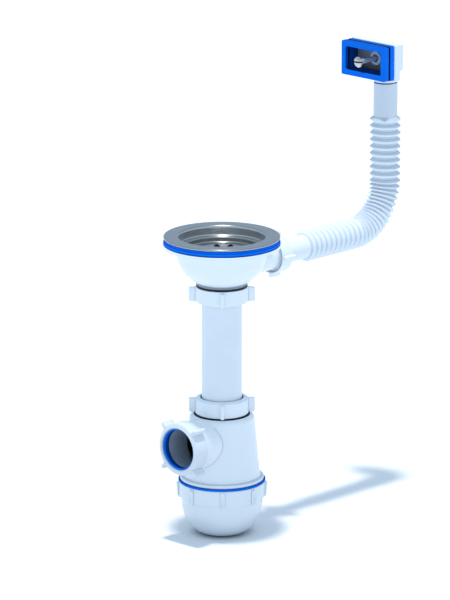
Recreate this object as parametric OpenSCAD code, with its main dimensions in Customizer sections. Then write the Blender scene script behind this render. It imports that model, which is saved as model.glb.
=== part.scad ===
// Kitchen sink bottle trap with a strainer waste and a corrugated overflow hose.
// Millimetres, +Z up. The origin is on the drain axis, in the plane where the strainer's
// rim sits on the sink. The overflow branch leaves along +X and the outlet along -X.

/* [Strainer] */
// Inner radius of the strainer's upper wall
mouth_r = 42.4; // [40:0.2:44]
// Width of the strainer's flange round its mouth
flange_w = 15.1; // [12:0.1:20]
// Height of the flange's top above the sink
flange_rise = 1.9; // [1.5:0.1:3]
// Thickness of the stainless sheet
steel_t = 0.9; // [0.6:0.1:1.2]
// Radius of the bend between flange and wall
mouth_bend_r = 2.6; // [1.5:0.1:3.5]
// Depth of the ledge below the flange's top
ledge_depth = 10.2; // [8:0.2:12]
// Width of the ledge
ledge_w = 5.8; // [4:0.1:8]
// Depth of the strainer's floor below the ledge
sump_depth = 5.4; // [4:0.1:7]
// Distance of the drain holes' circle from the lower wall
hole_margin = 11.6; // [8:0.1:13]
// Radius of one drain hole
hole_r = 3; // [2:0.1:3.5]
// Number of drain holes
hole_count = 12; // [8:1:14]
// Turn of the first drain hole from the overflow branch, in degrees
hole_turn = 25; // [0:1:45]
// Gap between the clamping screw's head and the wall of its dimple
dimple_gap = 1.3; // [0.8:0.1:2]
// Depth of that dimple
dimple_depth = 2.2; // [1.5:0.1:3]

/* [Sink gasket] */
// Height of the blue gasket between strainer and bowl
gasket_h = 7.3; // [5:0.1:9]
// How far the gasket's upper band stays inside the flange's edge
gasket_inset = 1.6; // [1:0.1:3]
// How far the gasket's lower lip stands out
gasket_lip = 1.8; // [0.5:0.1:2]
// Height of the gasket's lower lip
gasket_lip_h = 3.4; // [2:0.1:4]

/* [Outlet bowl] */
// How far the bowl's lip stands out past the strainer's flange
lip_over = 1; // [0.5:0.1:3]
// Thickness of the lip
lip_t = 2.7; // [2:0.1:4]
// Gap between the strainer's wall and the bowl
bowl_gap = 0.4; // [0.2:0.1:2]
// Depth of the round part of the bowl
bowl_depth = 35; // [33:0.5:40]
// Wall of the bowl
bowl_wall = 2.3; // [1.8:0.1:2.5]
// How far the bowl's foot stands out past the collar
foot_over = 1.1; // [0.8:0.1:2]
// How far the collar stands out past the thread below it
collar_over = 1.4; // [1:0.1:2]
// Height of that collar
collar_h = 3.9; // [3:0.1:6]
// Number of grooves in the collar
groove_count = 3; // [1:1:3]
// Wall of the screw boss round its brass insert
boss_wall = 2.5; // [2:0.1:4]
// Height of the boss below the insert
boss_foot = 4; // [3:0.1:6]
// Drop from the strainer's dimple to the boss
boss_drop = 10; // [8:0.5:12]
// Thickness of the ribs that carry the boss
rib_t = 2.6; // [2:0.1:4]
// Number of ribs that carry the boss
rib_count = 4; // [3:1:4]

/* [Main unions] */
// Outer radius of the down pipe
pipe_r = 20; // [18:0.1:21]
// Wall of the down pipe
pipe_wall = 1.9; // [1.5:0.1:2.5]
// Height of the pipe's foot above the inside of the cup
pipe_foot_gap = 27.2; // [24:0.1:34]
// Wall of the threaded necks outside the pipe
neck_wall = 3.9; // [3.4:0.1:5]
// Length of the threaded necks
neck_len = 13.6; // [12:0.2:16]
// Wall of the union nuts outside the necks
nut_wall = 2.4; // [2:0.1:4]
// Thickness of the nut's inner shoulder
nut_shoulder = 2.4; // [2:0.1:3]
// Gap between the nut's hole and the pipe
nut_hole_gap = 0.9; // [0.6:0.1:1.5]
// How far the nut's wings stand out
wing_out = 6.5; // [5:0.1:8]
// Thickness of a wing at its tip
wing_t = 3.7; // [3:0.1:5]

/* [Bottle] */
// Drop from the sink seat to the bottle's shoulder
bottle_drop = 179.4; // [160:0.2:220]
// How far the bottle's shoulder stands out past its neck
shoulder_over = 8.2; // [7:0.1:10]
// Rounding of the shoulder
shoulder_round = 5.4; // [4:0.1:6]
// Height of the bottle's body from shoulder to flange underside
body_h = 66.3; // [64:0.1:76]
// How much the body widens from the shoulder to its foot
body_flare = 5.6; // [3:0.1:7]
// How far the body's flange stands out
body_flange_over = 3.9; // [3.4:0.1:5]
// Thickness of the body's flange at its edge
body_flange_t = 2.8; // [2:0.1:4]
// Wall of the bottle's body
body_wall = 2.4; // [2:0.1:3]
// Depth of the branch's top below the shoulder
outlet_under = 0.2; // [0.1:0.1:2]
// Distance of the outlet nut's mouth from the body's widest radius
outlet_show = 9; // [7:0.1:16]
// How far the branch behind the outlet nut stands out past the thread
branch_over = 0.5; // [0.4:0.1:1]

/* [Cup] */
// Thickness of the blue ring between body and cup
ring_t = 2.4; // [1.5:0.1:4]
// How far the blue ring stands out past the body's flange
ring_over = 1.7; // [0.6:0.1:2.5]
// How far the cup's thread stays inside the body's flange
cup_thread_inset = 2.2; // [1.8:0.1:2.6]
// Wall of the cup's rim outside its thread
cup_rim_wall = 3.2; // [2.8:0.1:4]
// Height of the cup's rim
cup_rim_h = 17; // [14:0.5:22]
// Gap between the thread's end and the cup's inner step
thread_end_gap = 3.6; // [2:0.1:5]
// Step from the cup's rim to its round bottom
cup_step = 2.2; // [1.6:0.1:3]
// Wall of the cup
cup_wall = 2.3; // [1.8:0.1:2.6]
// Depth of the cup's round bottom below its rim
cup_depth = 36.3; // [34:0.1:40]
// Radius of the curve of the cup's side
cup_side_r = 43.5; // [42:0.1:48]
// Radius of the curve between the cup's side and its flat floor
cup_floor_round = 22.6; // [18:0.1:24]
// Number of grip ribs
grip_count = 8; // [6:1:12]
// How far a grip rib stands out
grip_out = 2.6; // [1.5:0.1:4]
// Width of a grip rib
grip_w = 4.6; // [3:0.1:6]
// How much shorter the grip ribs are than the cup's rim
grip_short = 1.5; // [1.4:0.1:5]

/* [Overflow branch] */
// Height of the branch's axis above the bowl's foot
branch_rise = 13.6; // [12:0.1:16]
// Wall of the branch outside its bore
stub_wall = 2.2; // [1.8:0.1:2.6]
// How far the branch's thread stands out
stub_thread_over = 1.3; // [1:0.1:2]
// Distance of the overflow nut's mouth from the bowl's lip
overflow_nut_gap = 9.3; // [6:0.1:16]
// Wall of the overflow nut outside the thread
small_nut_wall = 2.8; // [2.2:0.1:4]
// Length of the overflow nut
small_nut_h = 16; // [14:0.2:18]
// How far the overflow nut's wings stand out
small_wing_out = 4.4; // [3:0.1:6]

/* [Overflow hose] */
// Outer radius of the hose's plain ends
cuff_r = 12.1; // [11.5:0.1:13]
// Wall of the hose's plain ends
cuff_wall = 1.6; // [1.4:0.1:1.8]
// Distance of the hose's upright run from the drain axis
hose_reach = 237.4; // [200:0.2:280]
// Radius of the hose's bend along its centre line
bend_r = 47.1; // [44:0.1:54]
// Distance between two crests on the straight runs
pitch = 7.1; // [6:0.1:8]
// How far the roots between crests stand out past the plain ends
root_over = 0.3; // [0.2:0.1:1]
// Height of the crests above the roots
crest_rise = 3.5; // [2.5:0.1:4.5]
// Wall of the corrugated part
hose_wall = 1.3; // [1:0.1:1.6]
// Number of crests in the bend
bend_crests = 14; // [12:1:16]
// Number of crests on the upright run
upright_crests = 9; // [6:1:12]
// Length of the hose's upper plain end
upper_cuff_len = 34.2; // [30:0.1:45]
// Least length of plain hose in view between the overflow nut and the first crest
lower_cuff_show = 31.5; // [26:0.5:40]
// How far the hose's lower plain end goes into the branch
hose_insert = 21.2; // [16:0.2:26]

/* [Overflow head] */
// Width of the blue frame
frame_w = 59; // [50:0.5:70]
// Height of the blue frame
frame_h = 35; // [30:0.5:42]
// Depth of the blue frame
frame_d = 15; // [12:0.5:18]
// Width of the blue frame's border
frame_border = 5.5; // [4:0.1:6.5]
// How far the white housing stands out past each side of the frame
housing_over_w = 1; // [0.5:0.1:3]
// How far the housing stands out past the frame's top and foot, on average
housing_over_h = 2; // [1.6:0.1:3]
// How far the frame's middle stands above the housing's middle
frame_rise = 0.7; // [0:0.1:1]
// Depth of the white housing behind the frame
housing_d = 8; // [7:0.1:10]
// Depth of the duct bulge behind the housing
bulge_d = 6.5; // [4:0.1:8]
// Wall of the housing
housing_wall = 2.2; // [1.8:0.1:2.6]
// Distance of the hose's side from the housing's side
hose_margin = 0.6; // [0.4:0.1:3]
// Gap between the overflow screw and the hole in the ring round it
ring_hole_gap = 1.2; // [0.8:0.1:1.6]
// Width of the ring round the screw
screw_ring_w = 3.6; // [2.6:0.1:4.4]
// How far the overflow screw's head stands in front of the face
screw_stand = 8; // [6:0.5:12]
// How far that screw's tip comes out of its boss
screw_tip_out = 1.2; // [0.4:0.1:4]

/* [Fastenings] */
// Radius of both screws' shafts
screw_r = 2.5; // [2:0.1:2.8]
// How far the screws' heads stand out past the shafts
screw_head_over = 3; // [2.4:0.1:3.6]
// Height of the screws' conical heads
screw_cone_h = 2.8; // [2:0.1:3.5]
// Height of the heads' domes
screw_dome_h = 1.2; // [0.8:0.1:1.6]
// Width of the driver slots
slot_w = 1.7; // [1:0.1:2]
// Wall of the brass inserts
insert_wall = 1.6; // [1.3:0.1:2]
// Length of the brass inserts
insert_len = 9; // [7:0.5:10]

/* [Hidden] */
$fn = 64;

// Shared clearances, an overrun for cuts, and colours
fit_gap = 0.3;
thread_gap = 0.3;
turn_gap = 0.08;
screw_gap = 0.1;
insert_gap = 0.1;
insert_end_gap = 0.6;
cut = 1;
edge_cut = 0.01;
white = [0.93, 0.96, 0.98];
blue = [0.02, 0.38, 0.95];
steel = [0.62, 0.65, 0.68];
brass = [0.80, 0.65, 0.32];

// Screws and inserts
screw_head_r = screw_r + screw_head_over;
insert_r = screw_r + insert_wall;
slot_depth = 1.6;
screw_end_gap = 0.7;
screw_turn = -5;

// Strainer and sink gasket
flange_r = mouth_r + flange_w;
sump_r = mouth_r - ledge_w;
hole_circle_r = sump_r - hole_margin;
dimple_foot_r = screw_head_r + dimple_gap;
dimple_r = dimple_foot_r + dimple_depth;
head_tip_r = screw_r + screw_gap;
fold_share = 0.9;
bend_share = 1.6;
rim_fold = steel_t * fold_share;
sump_bend_r = steel_t * bend_share;
wall_out_r = mouth_r + steel_t;
sheet_under = flange_rise - steel_t;
ledge_z = flange_rise - ledge_depth;
floor_z = ledge_z - sump_depth;
dimple_z = floor_z - dimple_depth;
gasket_r = flange_r - gasket_inset;
gasket_bore_gap = 0.5;
gasket_bottom = sheet_under - gasket_h;

// Unions: the seal's base lies between the neck's end and the nut's shoulder
seal_base_t = 1.2;
seal_cone_h = 4.6;
seal_cone_out = 1.7;
seal_tip_t = 0.7;
nut_rim_gap = 1.1;
nut_face_w = 1;
nut_slope = 1.5;
nut_edge = 0.6;
hole_edge = 0.7;
wing_root_extra = 1.2;
wing_sink = 1;
wing_count = 4;
wing_end = 1.1;
wing_corner = 1.4;
wing_angle = 45;
neck_r = pipe_r + neck_wall;
nut_r = neck_r + nut_wall;
wing_tip_r = nut_r + wing_out;
union_stack = fit_gap + seal_base_t + nut_shoulder;
nut_h = union_stack + neck_len - nut_rim_gap;
nut_hole_r = pipe_r + nut_hole_gap;
stop_r = pipe_r - pipe_wall;
stop_depth = 27;

// Outlet bowl and its screw boss
lip_r = flange_r + lip_over;
lip_edge = 0.8;
bowl_r = wall_out_r + bowl_gap + bowl_wall;
collar_r = neck_r + collar_over;
bowl_foot_r = collar_r + foot_over;
groove_w = 0.4;
lip_bottom = gasket_bottom - lip_t;
foot_z = lip_bottom - bowl_depth;
collar_bottom = foot_z - collar_h;
upper_neck_end = collar_bottom - neck_len;
boss_r = insert_r + boss_wall;
boss_h = insert_len + boss_foot;
boss_top_z = dimple_z - steel_t - boss_drop;
boss_bottom_z = boss_top_z - boss_h;
strainer_screw_len = dimple_z + screw_cone_h - boss_bottom_z - screw_end_gap;

// The bowl's round side: one arc that leaves the lip upright and ends at the foot
arc_r = (pow(bowl_r - bowl_foot_r, 2) + pow(bowl_depth, 2)) / (2 * (bowl_r - bowl_foot_r));
arc_x = bowl_r - arc_r;
arc_in_r = arc_r - bowl_wall;

// Bottle body
shoulder_r = neck_r + shoulder_over;
body_foot_r = shoulder_r + body_flare;
body_flange_r = body_foot_r + body_flange_over;
cup_thread_r = body_flange_r - cup_thread_inset;
branch_r = neck_r + branch_over;
body_fillet = 1.6;
shoulder_z = -bottle_drop;
lower_neck_end = shoulder_z + neck_len;
flange_z = shoulder_z - body_h;
outlet_z = shoulder_z - outlet_under - branch_r;
outlet_reach = body_foot_r + outlet_show + nut_h;
outlet_neck_end = outlet_reach - union_stack;
outlet_collar = outlet_neck_end - neck_len;

// Cup and its ring
ring_r = body_flange_r + ring_over;
ring_bore_r = cup_thread_r + fit_gap;
ring_under = flange_z - ring_t;
cup_rim_r = cup_thread_r + cup_rim_wall;
rim_in_r = cup_thread_r + thread_gap;
rim_edge = 0.8;
cup_bowl_r = cup_rim_r - cup_step;
skirt_end = ring_under - cup_rim_h;
thread_end_z = skirt_end + cup_wall + thread_end_gap;
grip_h = cup_rim_h - grip_short;
grip_top_gap = 1.4;
grip_taper = 1.2;

// The cup's bottom: one arc that leaves the rim upright, then a tighter one to the floor
cup_side_drop = 2.2;
cup_side_x = cup_bowl_r - cup_side_r;
cup_side_z = skirt_end - cup_side_drop;
cup_floor_z = skirt_end - cup_depth;
cup_floor_arc_z = cup_floor_z + cup_floor_round;
cup_floor_x = cup_side_x
    + sqrt(pow(cup_side_r - cup_floor_round, 2) - pow(cup_floor_arc_z - cup_side_z, 2));
cup_join_angle = atan2(cup_floor_arc_z - cup_side_z, cup_floor_x - cup_side_x);

// Down pipe, from the bowl's socket to a little above the cup
pipe_top_gap = 3;
pipe_top = collar_bottom - pipe_top_gap;
pipe_foot = cup_floor_z + cup_wall + pipe_foot_gap;

// Overflow branch
socket_gap = 0.4;
stub_root_x = 20;
stub_bore_start = 30;
small_rim_gap = 1;
stub_bore_r = cuff_r + socket_gap;
stub_r = stub_bore_r + stub_wall;
stub_thread_r = stub_r + stub_thread_over;
small_nut_r = stub_thread_r + small_nut_wall;
small_wing_tip_r = small_nut_r + small_wing_out;
branch_z = foot_z + branch_rise;
overflow_nut_reach = lip_r + overflow_nut_gap + small_nut_h;
stub_end = overflow_nut_reach - union_stack;
stub_thread_start = overflow_nut_reach - small_nut_h + small_rim_gap;

// Hose: the level run has as many crests as fit between the bend and the plain end
cuff_in_r = cuff_r - cuff_wall;
root_r = cuff_r + root_over;
crest_r = root_r + crest_rise;
flat_share = 0.08;
half_share = 0.5;
bend_start = hose_reach - bend_r;
bend_top = branch_z + bend_r;
level_room = bend_start - overflow_nut_reach - lower_cuff_show;
level_crests = floor(level_room / pitch - half_share);
level_start = bend_start - (level_crests + half_share) * pitch;
hose_start = stub_end - hose_insert;
upright_end = bend_top + (upright_crests + half_share) * pitch;
hose_top = upright_end + upper_cuff_len;
bend_len = bend_r * PI / 2;
bend_pitch = bend_len / bend_crests;
ring_sides = 24;
side_share = 1 / cos(180 / ring_sides);
lap = 0.3;
lap_wall = 0.12;

// Overflow head, in its own frame: depth runs along +X from the face, and the hose's
// axis lies in the plane between the frame and the housing
housing_w = frame_w + 2 * housing_over_w;
housing_h = frame_h + 2 * housing_over_h;
head_offset = housing_w / 2 - cuff_r - hose_margin;
face_x = hose_reach - frame_d;
head_gap = 1;
housing_foot = hose_top + head_gap;
face_z = housing_foot + housing_h / 2 + frame_rise;
frame_round = 2.5;
frame_edge_round = 1.25;
frame_groove = 1.2;
groove_start_share = 0.49;
step_start_share = 1 / 3;
step_end_share = 0.57;
lip_step = 1.4;
housing_round = 2;
housing_back = frame_d + housing_d;
back_wall = housing_back - housing_wall;
screw_ring_t = 1.8;
screw_ring_hole_r = screw_r + ring_hole_gap;
screw_ring_r = screw_ring_hole_r + screw_ring_w;
bulge_top_step = 1.6;
bulge_low_share = 0.28;
bulge_bevel = 3;
bulge_notch = 1.5;
notch_share = 0.6;
bevel_end_share = 0.3;
bulge_hose_gap = 2;
bulge_top = housing_h / 2 - bulge_top_step;
bulge_low = -housing_h * bulge_low_share;
bulge_side = head_offset - cuff_r - bulge_hose_gap;
bulge_edge = housing_w / 2 - housing_round;
rear_boss_wall = 2;
rear_boss_floor = 2;
rear_boss_r = insert_r + rear_boss_wall;
rear_boss_len = insert_len + rear_boss_floor;
overflow_screw_len = screw_stand - screw_dome_h + housing_back + rear_boss_len + screw_tip_out;
spigot_len = 24;
spigot_wall = 1.8;
spigot_r = cuff_in_r - turn_gap;
neck_pad_step = 0.6;
neck_pad_t = housing_over_h + frame_rise - fit_gap;
neck_pad_r = cuff_r - neck_pad_step;
duct_gap = 1;

// Polar points of an arc from angle a0 to a1
function arc(x, z, r, a0, a1, n = 8) =
    [for (i = [0 : n]) let (a = a0 + (a1 - a0) * i / n) [x + r * cos(a), z + r * sin(a)]];

// A list without its first point
function tail(points) = [for (i = [1 : len(points) - 1]) points[i]];

// Square from two opposite corners
module block2(a, b) {
    translate([min(a[0], b[0]), min(a[1], b[1])])
        square([abs(b[0] - a[0]), abs(b[1] - a[1])]);
}

// Rectangle round the origin with true round corners
module round_rect(w, h, r) {
    square([w - 2 * r, h], center = true);
    square([w, h - 2 * r], center = true);
    for (x = [-1, 1], y = [-1, 1])
        translate([x * (w / 2 - r), y * (h / 2 - r)]) circle(r = r);
}

// Puts a shape drawn upward along an axis that leaves the drain sideways
module along_plus_x(z) { translate([0, 0, z]) rotate([0, 90, 0]) children(); }
module along_minus_x(z) { translate([0, 0, z]) rotate([0, -90, 0]) children(); }

// Places a solid drawn as an outline in Y and Z, then depth along +X, on the head
module on_head(depth = 0) {
    translate([face_x + depth, head_offset, face_z]) rotate([90, 0, 90]) children();
}

// Strainer: a pressed sheet with a folded rim, a stepped wall, a holed floor and a dimple
module strainer() {
    bend_x = mouth_r + mouth_bend_r;
    bend_z = flange_rise - mouth_bend_r;
    ledge_x = sump_r + sump_bend_r;
    top_side = concat(
        [[flange_r, 0], [flange_r, flange_rise - rim_fold], [flange_r - rim_fold, flange_rise]],
        arc(bend_x, bend_z, mouth_bend_r, 90, 180),
        [[mouth_r, ledge_z + sump_bend_r]],
        arc(mouth_r - sump_bend_r, ledge_z + sump_bend_r, sump_bend_r, 0, -90, 4),
        arc(ledge_x, ledge_z - sump_bend_r, sump_bend_r, 90, 180, 4),
        [[sump_r, floor_z + sump_bend_r]],
        arc(sump_r - sump_bend_r, floor_z + sump_bend_r, sump_bend_r, 0, -90, 4),
        [[dimple_r, floor_z], [dimple_foot_r, dimple_z], [head_tip_r, dimple_z]]);
    under_side = concat(
        [[head_tip_r, dimple_z - steel_t], [dimple_foot_r + steel_t / 2, dimple_z - steel_t],
            [dimple_r + steel_t / 2, floor_z - steel_t]],
        arc(sump_r - sump_bend_r, floor_z + sump_bend_r, sump_bend_r + steel_t, -90, 0, 4),
        arc(ledge_x, ledge_z - sump_bend_r, sump_bend_r - steel_t, 180, 90, 4),
        arc(mouth_r - sump_bend_r, ledge_z + sump_bend_r, sump_bend_r + steel_t, -90, 0, 4),
        arc(bend_x, bend_z, mouth_bend_r - steel_t, 180, 90),
        [[flange_r - steel_t, sheet_under], [flange_r - steel_t, 0]]);
    color(steel) difference() {
        rotate_extrude() polygon(concat(top_side, under_side));
        for (i = [0 : hole_count - 1])
            rotate([0, 0, hole_turn + 360 * i / hole_count])
                translate([hole_circle_r, 0, floor_z - steel_t - cut])
                    cylinder(r = hole_r, h = steel_t + 2 * cut);
    }
}

// Slotted screw with a raised countersunk head: its head's rim is at z = 0, shaft down
module slotted_screw(len) {
    dome_r = (pow(screw_head_r, 2) + pow(screw_dome_h, 2)) / (2 * screw_dome_h);
    color(steel) difference() {
        union() {
            translate([0, 0, -screw_cone_h])
                cylinder(r1 = screw_r, r2 = screw_head_r, h = screw_cone_h);
            translate([0, 0, -len]) cylinder(r = screw_r, h = len);
            intersection() {
                translate([0, 0, screw_dome_h - dome_r]) sphere(r = dome_r);
                cylinder(r = screw_head_r, h = screw_dome_h + cut);
            }
        }
        translate([-screw_head_r - cut, -slot_w / 2, screw_dome_h - slot_depth])
            cube([2 * (screw_head_r + cut), slot_w, slot_depth + cut]);
    }
}

module strainer_screw() {
    translate([0, 0, dimple_z + screw_cone_h]) slotted_screw(strainer_screw_len);
}

// Brass insert: a flanged tube, its mouth at z = 0 and its body down
module brass_insert(len) {
    color(brass) difference() {
        translate([0, 0, -len]) cylinder(r = insert_r, h = len);
        translate([0, 0, -len - cut]) cylinder(r = screw_r + screw_gap, h = len + 2 * cut);
    }
}

module bowl_insert() {
    translate([0, 0, boss_top_z - fit_gap]) brass_insert(insert_len);
}

// Blue gasket under the strainer's flange, with a lip that stands out at its foot
module sink_gasket() {
    bore = wall_out_r + gasket_bore_gap;
    lip_top = gasket_bottom + gasket_lip_h;
    color(blue) rotate_extrude() polygon([
        [bore + mouth_bend_r, sheet_under], [gasket_r, sheet_under], [gasket_r, lip_top],
        [gasket_r + gasket_lip / 2, lip_top - gasket_lip / 3],
        [gasket_r + gasket_lip, lip_top - gasket_lip_h / 3],
        [gasket_r + gasket_lip, gasket_bottom + gasket_lip_h / 4],
        [gasket_r + gasket_lip / 2, gasket_bottom], [bore, gasket_bottom],
        [bore, sheet_under - mouth_bend_r]]);
}

// The bowl's outside in section, down to the neck's end
module bowl_outside_2d() {
    intersection() {
        translate([arc_x, lip_bottom]) circle(r = arc_r);
        block2([0, lip_bottom], [bowl_r, foot_z]);
    }
    block2([0, gasket_bottom], [bowl_r, lip_bottom]);
    polygon([[0, gasket_bottom], [lip_r - lip_edge, gasket_bottom], [lip_r, gasket_bottom - lip_edge],
        [lip_r, lip_bottom + lip_edge], [lip_r - lip_edge, lip_bottom], [0, lip_bottom]]);
    difference() {
        block2([0, foot_z], [collar_r, collar_bottom]);
        for (i = [1 : groove_count])
            translate([collar_r - groove_w, foot_z - collar_h * i / (groove_count + 1)])
                square([2 * groove_w, groove_w]);
    }
    block2([0, collar_bottom], [neck_r, upper_neck_end]);
}

// The bowl's inside in section, with the pipe's socket and the seat of the cone seal
module bowl_inside_2d() {
    intersection() {
        translate([arc_x, lip_bottom]) circle(r = arc_in_r);
        block2([0, lip_bottom + cut], [bowl_r, foot_z + bowl_wall / 2]);
    }
    block2([0, gasket_bottom + cut], [bowl_r - bowl_wall, lip_bottom]);
    block2([0, foot_z + bowl_wall], [pipe_r + fit_gap, upper_neck_end - cut]);
    translate([0, upper_neck_end]) seal_seat_2d(pipe_r);
}

// Seat of a cone seal, cut upward into a neck whose end is at z = 0
module seal_seat_2d(r) {
    mouth = r + fit_gap + seal_cone_out + fit_gap;
    end = r + fit_gap + seal_tip_t + fit_gap;
    polygon([[0, -cut], [mouth, -cut], [mouth, 0], [end, seal_cone_h + fit_gap],
        [0, seal_cone_h + fit_gap]]);
}

// White bowl with its lip, side branch, threaded neck and the ribbed boss for the screw
module outlet_bowl() {
    color(white) difference() {
        union() {
            difference() {
                union() {
                    rotate_extrude() bowl_outside_2d();
                    along_plus_x(branch_z) stub_outside();
                }
                rotate_extrude() bowl_inside_2d();
                along_plus_x(branch_z) stub_inside();
            }
            intersection() {
                rotate_extrude() block2([0, boss_top_z], [bowl_r - bowl_wall, boss_bottom_z]);
                union() {
                    cylinder(r = boss_r, h = 2 * bottle_drop, center = true);
                    spider_ribs();
                }
            }
        }
        translate([0, 0, boss_top_z - insert_len - insert_end_gap])
            cylinder(r = insert_r + insert_gap, h = insert_len + insert_end_gap + cut);
        translate([0, 0, boss_bottom_z - cut]) cylinder(r = screw_r + fit_gap, h = boss_h + 2 * cut);
    }
}

// Ribs that join the boss to the bowl's round wall and stop inside it
module spider_ribs() {
    intersection() {
        rotate_extrude() intersection() {
            translate([arc_x, lip_bottom]) circle(r = (arc_r + arc_in_r) / 2);
            block2([0, boss_bottom_z + boss_h / 2], [bowl_r, boss_bottom_z]);
        }
        for (i = [0 : rib_count - 1])
            rotate([0, 0, 360 * (i + half_share) / rib_count])
                translate([0, -rib_t / 2, boss_bottom_z - cut])
                    cube([bowl_r, rib_t, boss_h + 2 * cut]);
    }
}

// Outside of the overflow branch, drawn upward from the drain axis
module stub_outside() {
    translate([0, 0, stub_root_x]) cylinder(r = stub_r, h = stub_end - stub_root_x);
    translate([0, 0, stub_thread_start]) cylinder(r = stub_thread_r, h = stub_end - stub_thread_start);
}

module stub_inside() {
    translate([0, 0, stub_bore_start]) cylinder(r = stub_bore_r, h = stub_end - stub_bore_start + cut);
    translate([0, 0, stub_end]) mirror([0, 0, 1]) rotate_extrude() seal_seat_2d(cuff_r);
}

// Union nut: its mouth at z = 0 and its shoulder's face at z = h; four wings
module union_nut(thread, hole, outer, h, tip, turn) {
    bore = thread + thread_gap;
    face = hole + nut_face_w;
    color(white) {
        difference() {
            union() {
                rotate_extrude() polygon([[0, 0], [outer - nut_edge, 0], [outer, nut_edge],
                    [outer, h - nut_slope], [face, h], [0, h]]);
                for (i = [0 : wing_count - 1])
                    rotate([0, 0, turn + 360 * i / wing_count]) wing(outer, h, tip);
            }
            translate([0, 0, -cut]) cylinder(r = bore, h = h - nut_shoulder + cut);
            rotate_extrude() polygon([[0, h - nut_shoulder - cut], [hole, h - nut_shoulder - cut],
                [hole, h - hole_edge], [hole + hole_edge, h + edge_cut], [0, h + edge_cut]]);
        }
    }
}

// One wing of a nut: a tapered plate, its outer corners cut back
module wing(outer, h, tip) {
    base = wing_t + wing_root_extra;
    intersection() {
        linear_extrude(height = h) polygon([
            [outer - wing_sink, -base / 2], [outer + wing_sink, -base / 2],
            [tip - wing_sink, -wing_t / 2], [tip, -wing_t / 2 + wing_sink],
            [tip, wing_t / 2 - wing_sink], [tip - wing_sink, wing_t / 2],
            [outer + wing_sink, base / 2], [outer - wing_sink, base / 2]]);
        rotate([90, 0, 0]) linear_extrude(height = 2 * base, center = true) polygon([
            [0, wing_end], [tip - wing_corner, wing_end], [tip, wing_end + wing_corner],
            [tip, h - nut_slope - wing_corner], [tip - wing_corner, h - nut_slope],
            [outer, h - nut_slope + wing_sink / 2], [0, h - nut_slope + wing_sink / 2]]);
    }
}

// Cone seal: its base at z = 0 against the nut's shoulder, its cone upward into the neck
module cone_seal(r, thread, gap = turn_gap) {
    bore = r + gap;
    color(blue) rotate_extrude() polygon([
        [bore, 0], [thread - fit_gap, 0], [thread - fit_gap, seal_base_t],
        [bore + seal_cone_out, seal_base_t], [bore + seal_tip_t, seal_base_t + seal_cone_h - fit_gap],
        [bore, seal_base_t + seal_cone_h - fit_gap]]);
}

// Upper union, under the bowl: the nut's mouth points up
module upper_seal() {
    translate([0, 0, upper_neck_end - fit_gap - seal_base_t]) cone_seal(pipe_r, neck_r);
}

module upper_nut() {
    translate([0, 0, upper_neck_end - union_stack]) translate([0, 0, nut_h]) mirror([0, 0, 1])
        union_nut(neck_r, nut_hole_r, nut_r, nut_h, wing_tip_r, wing_angle);
}

module down_pipe() {
    pipe_len = pipe_top - pipe_foot;
    color(white) translate([0, 0, pipe_foot]) difference() {
        cylinder(r = pipe_r, h = pipe_len);
        translate([0, 0, -cut]) cylinder(r = pipe_r - pipe_wall, h = pipe_len + 2 * cut);
    }
}

// Lower union, on the bottle's neck: the nut's mouth points down
module lower_seal() {
    translate([0, 0, lower_neck_end + fit_gap + seal_base_t]) mirror([0, 0, 1])
        cone_seal(pipe_r, neck_r);
}

module lower_nut() {
    translate([0, 0, lower_neck_end + union_stack - nut_h])
        union_nut(neck_r, nut_hole_r, nut_r, nut_h, wing_tip_r, wing_angle);
}

// The bottle body's outside in section
module body_outside_2d() {
    round_z = shoulder_z - shoulder_round;
    block2([0, lower_neck_end], [neck_r, shoulder_z - cut]);
    block2([0, shoulder_z], [shoulder_r - shoulder_round, round_z]);
    translate([shoulder_r - shoulder_round, round_z]) circle(r = shoulder_round);
    polygon([[0, round_z], [shoulder_r, round_z],
        [body_foot_r, flange_z + body_flange_t + 2 * body_fillet],
        [body_foot_r + body_fillet / 2, flange_z + body_flange_t + body_fillet / 2],
        [body_flange_r - lip_edge, flange_z + body_flange_t],
        [body_flange_r, flange_z + body_flange_t - lip_edge],
        [body_flange_r, flange_z], [0, flange_z]]);
    block2([0, flange_z], [cup_thread_r, thread_end_z]);
}

module body_inside_2d() {
    roof_z = shoulder_z - body_wall;
    round_z = shoulder_z - shoulder_round;
    block2([0, lower_neck_end + cut], [pipe_r + fit_gap, roof_z - cut]);
    block2([0, roof_z], [shoulder_r - shoulder_round, round_z]);
    intersection() {
        translate([shoulder_r - shoulder_round, round_z]) circle(r = shoulder_round - body_wall);
        block2([0, roof_z], [shoulder_r, round_z]);
    }
    polygon([[0, round_z], [shoulder_r - body_wall, round_z],
        [body_foot_r - body_wall, flange_z + body_flange_t], [cup_thread_r - body_wall, flange_z],
        [cup_thread_r - body_wall, thread_end_z - cut], [0, thread_end_z - cut]]);
    translate([0, lower_neck_end]) mirror([0, 1]) seal_seat_2d(pipe_r);
}

// White bottle body: threaded neck, round shoulder, cone, side outlet and thread for the cup
module bottle_body() {
    color(white) difference() {
        union() {
            rotate_extrude() body_outside_2d();
            along_minus_x(outlet_z) {
                cylinder(r = branch_r, h = outlet_collar);
                cylinder(r = neck_r, h = outlet_neck_end);
            }
        }
        rotate_extrude() body_inside_2d();
        along_minus_x(outlet_z) {
            cylinder(r = stop_r, h = outlet_neck_end);
            translate([0, 0, outlet_neck_end - stop_depth])
                cylinder(r = pipe_r + fit_gap, h = stop_depth + cut);
            translate([0, 0, outlet_neck_end]) mirror([0, 0, 1]) rotate_extrude() seal_seat_2d(pipe_r);
        }
    }
}

// Outlet union: the nut's shoulder faces outward
module outlet_seal() {
    along_minus_x(outlet_z) translate([0, 0, outlet_neck_end + fit_gap + seal_base_t]) mirror([0, 0, 1])
        cone_seal(pipe_r, neck_r, fit_gap);
}

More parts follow.
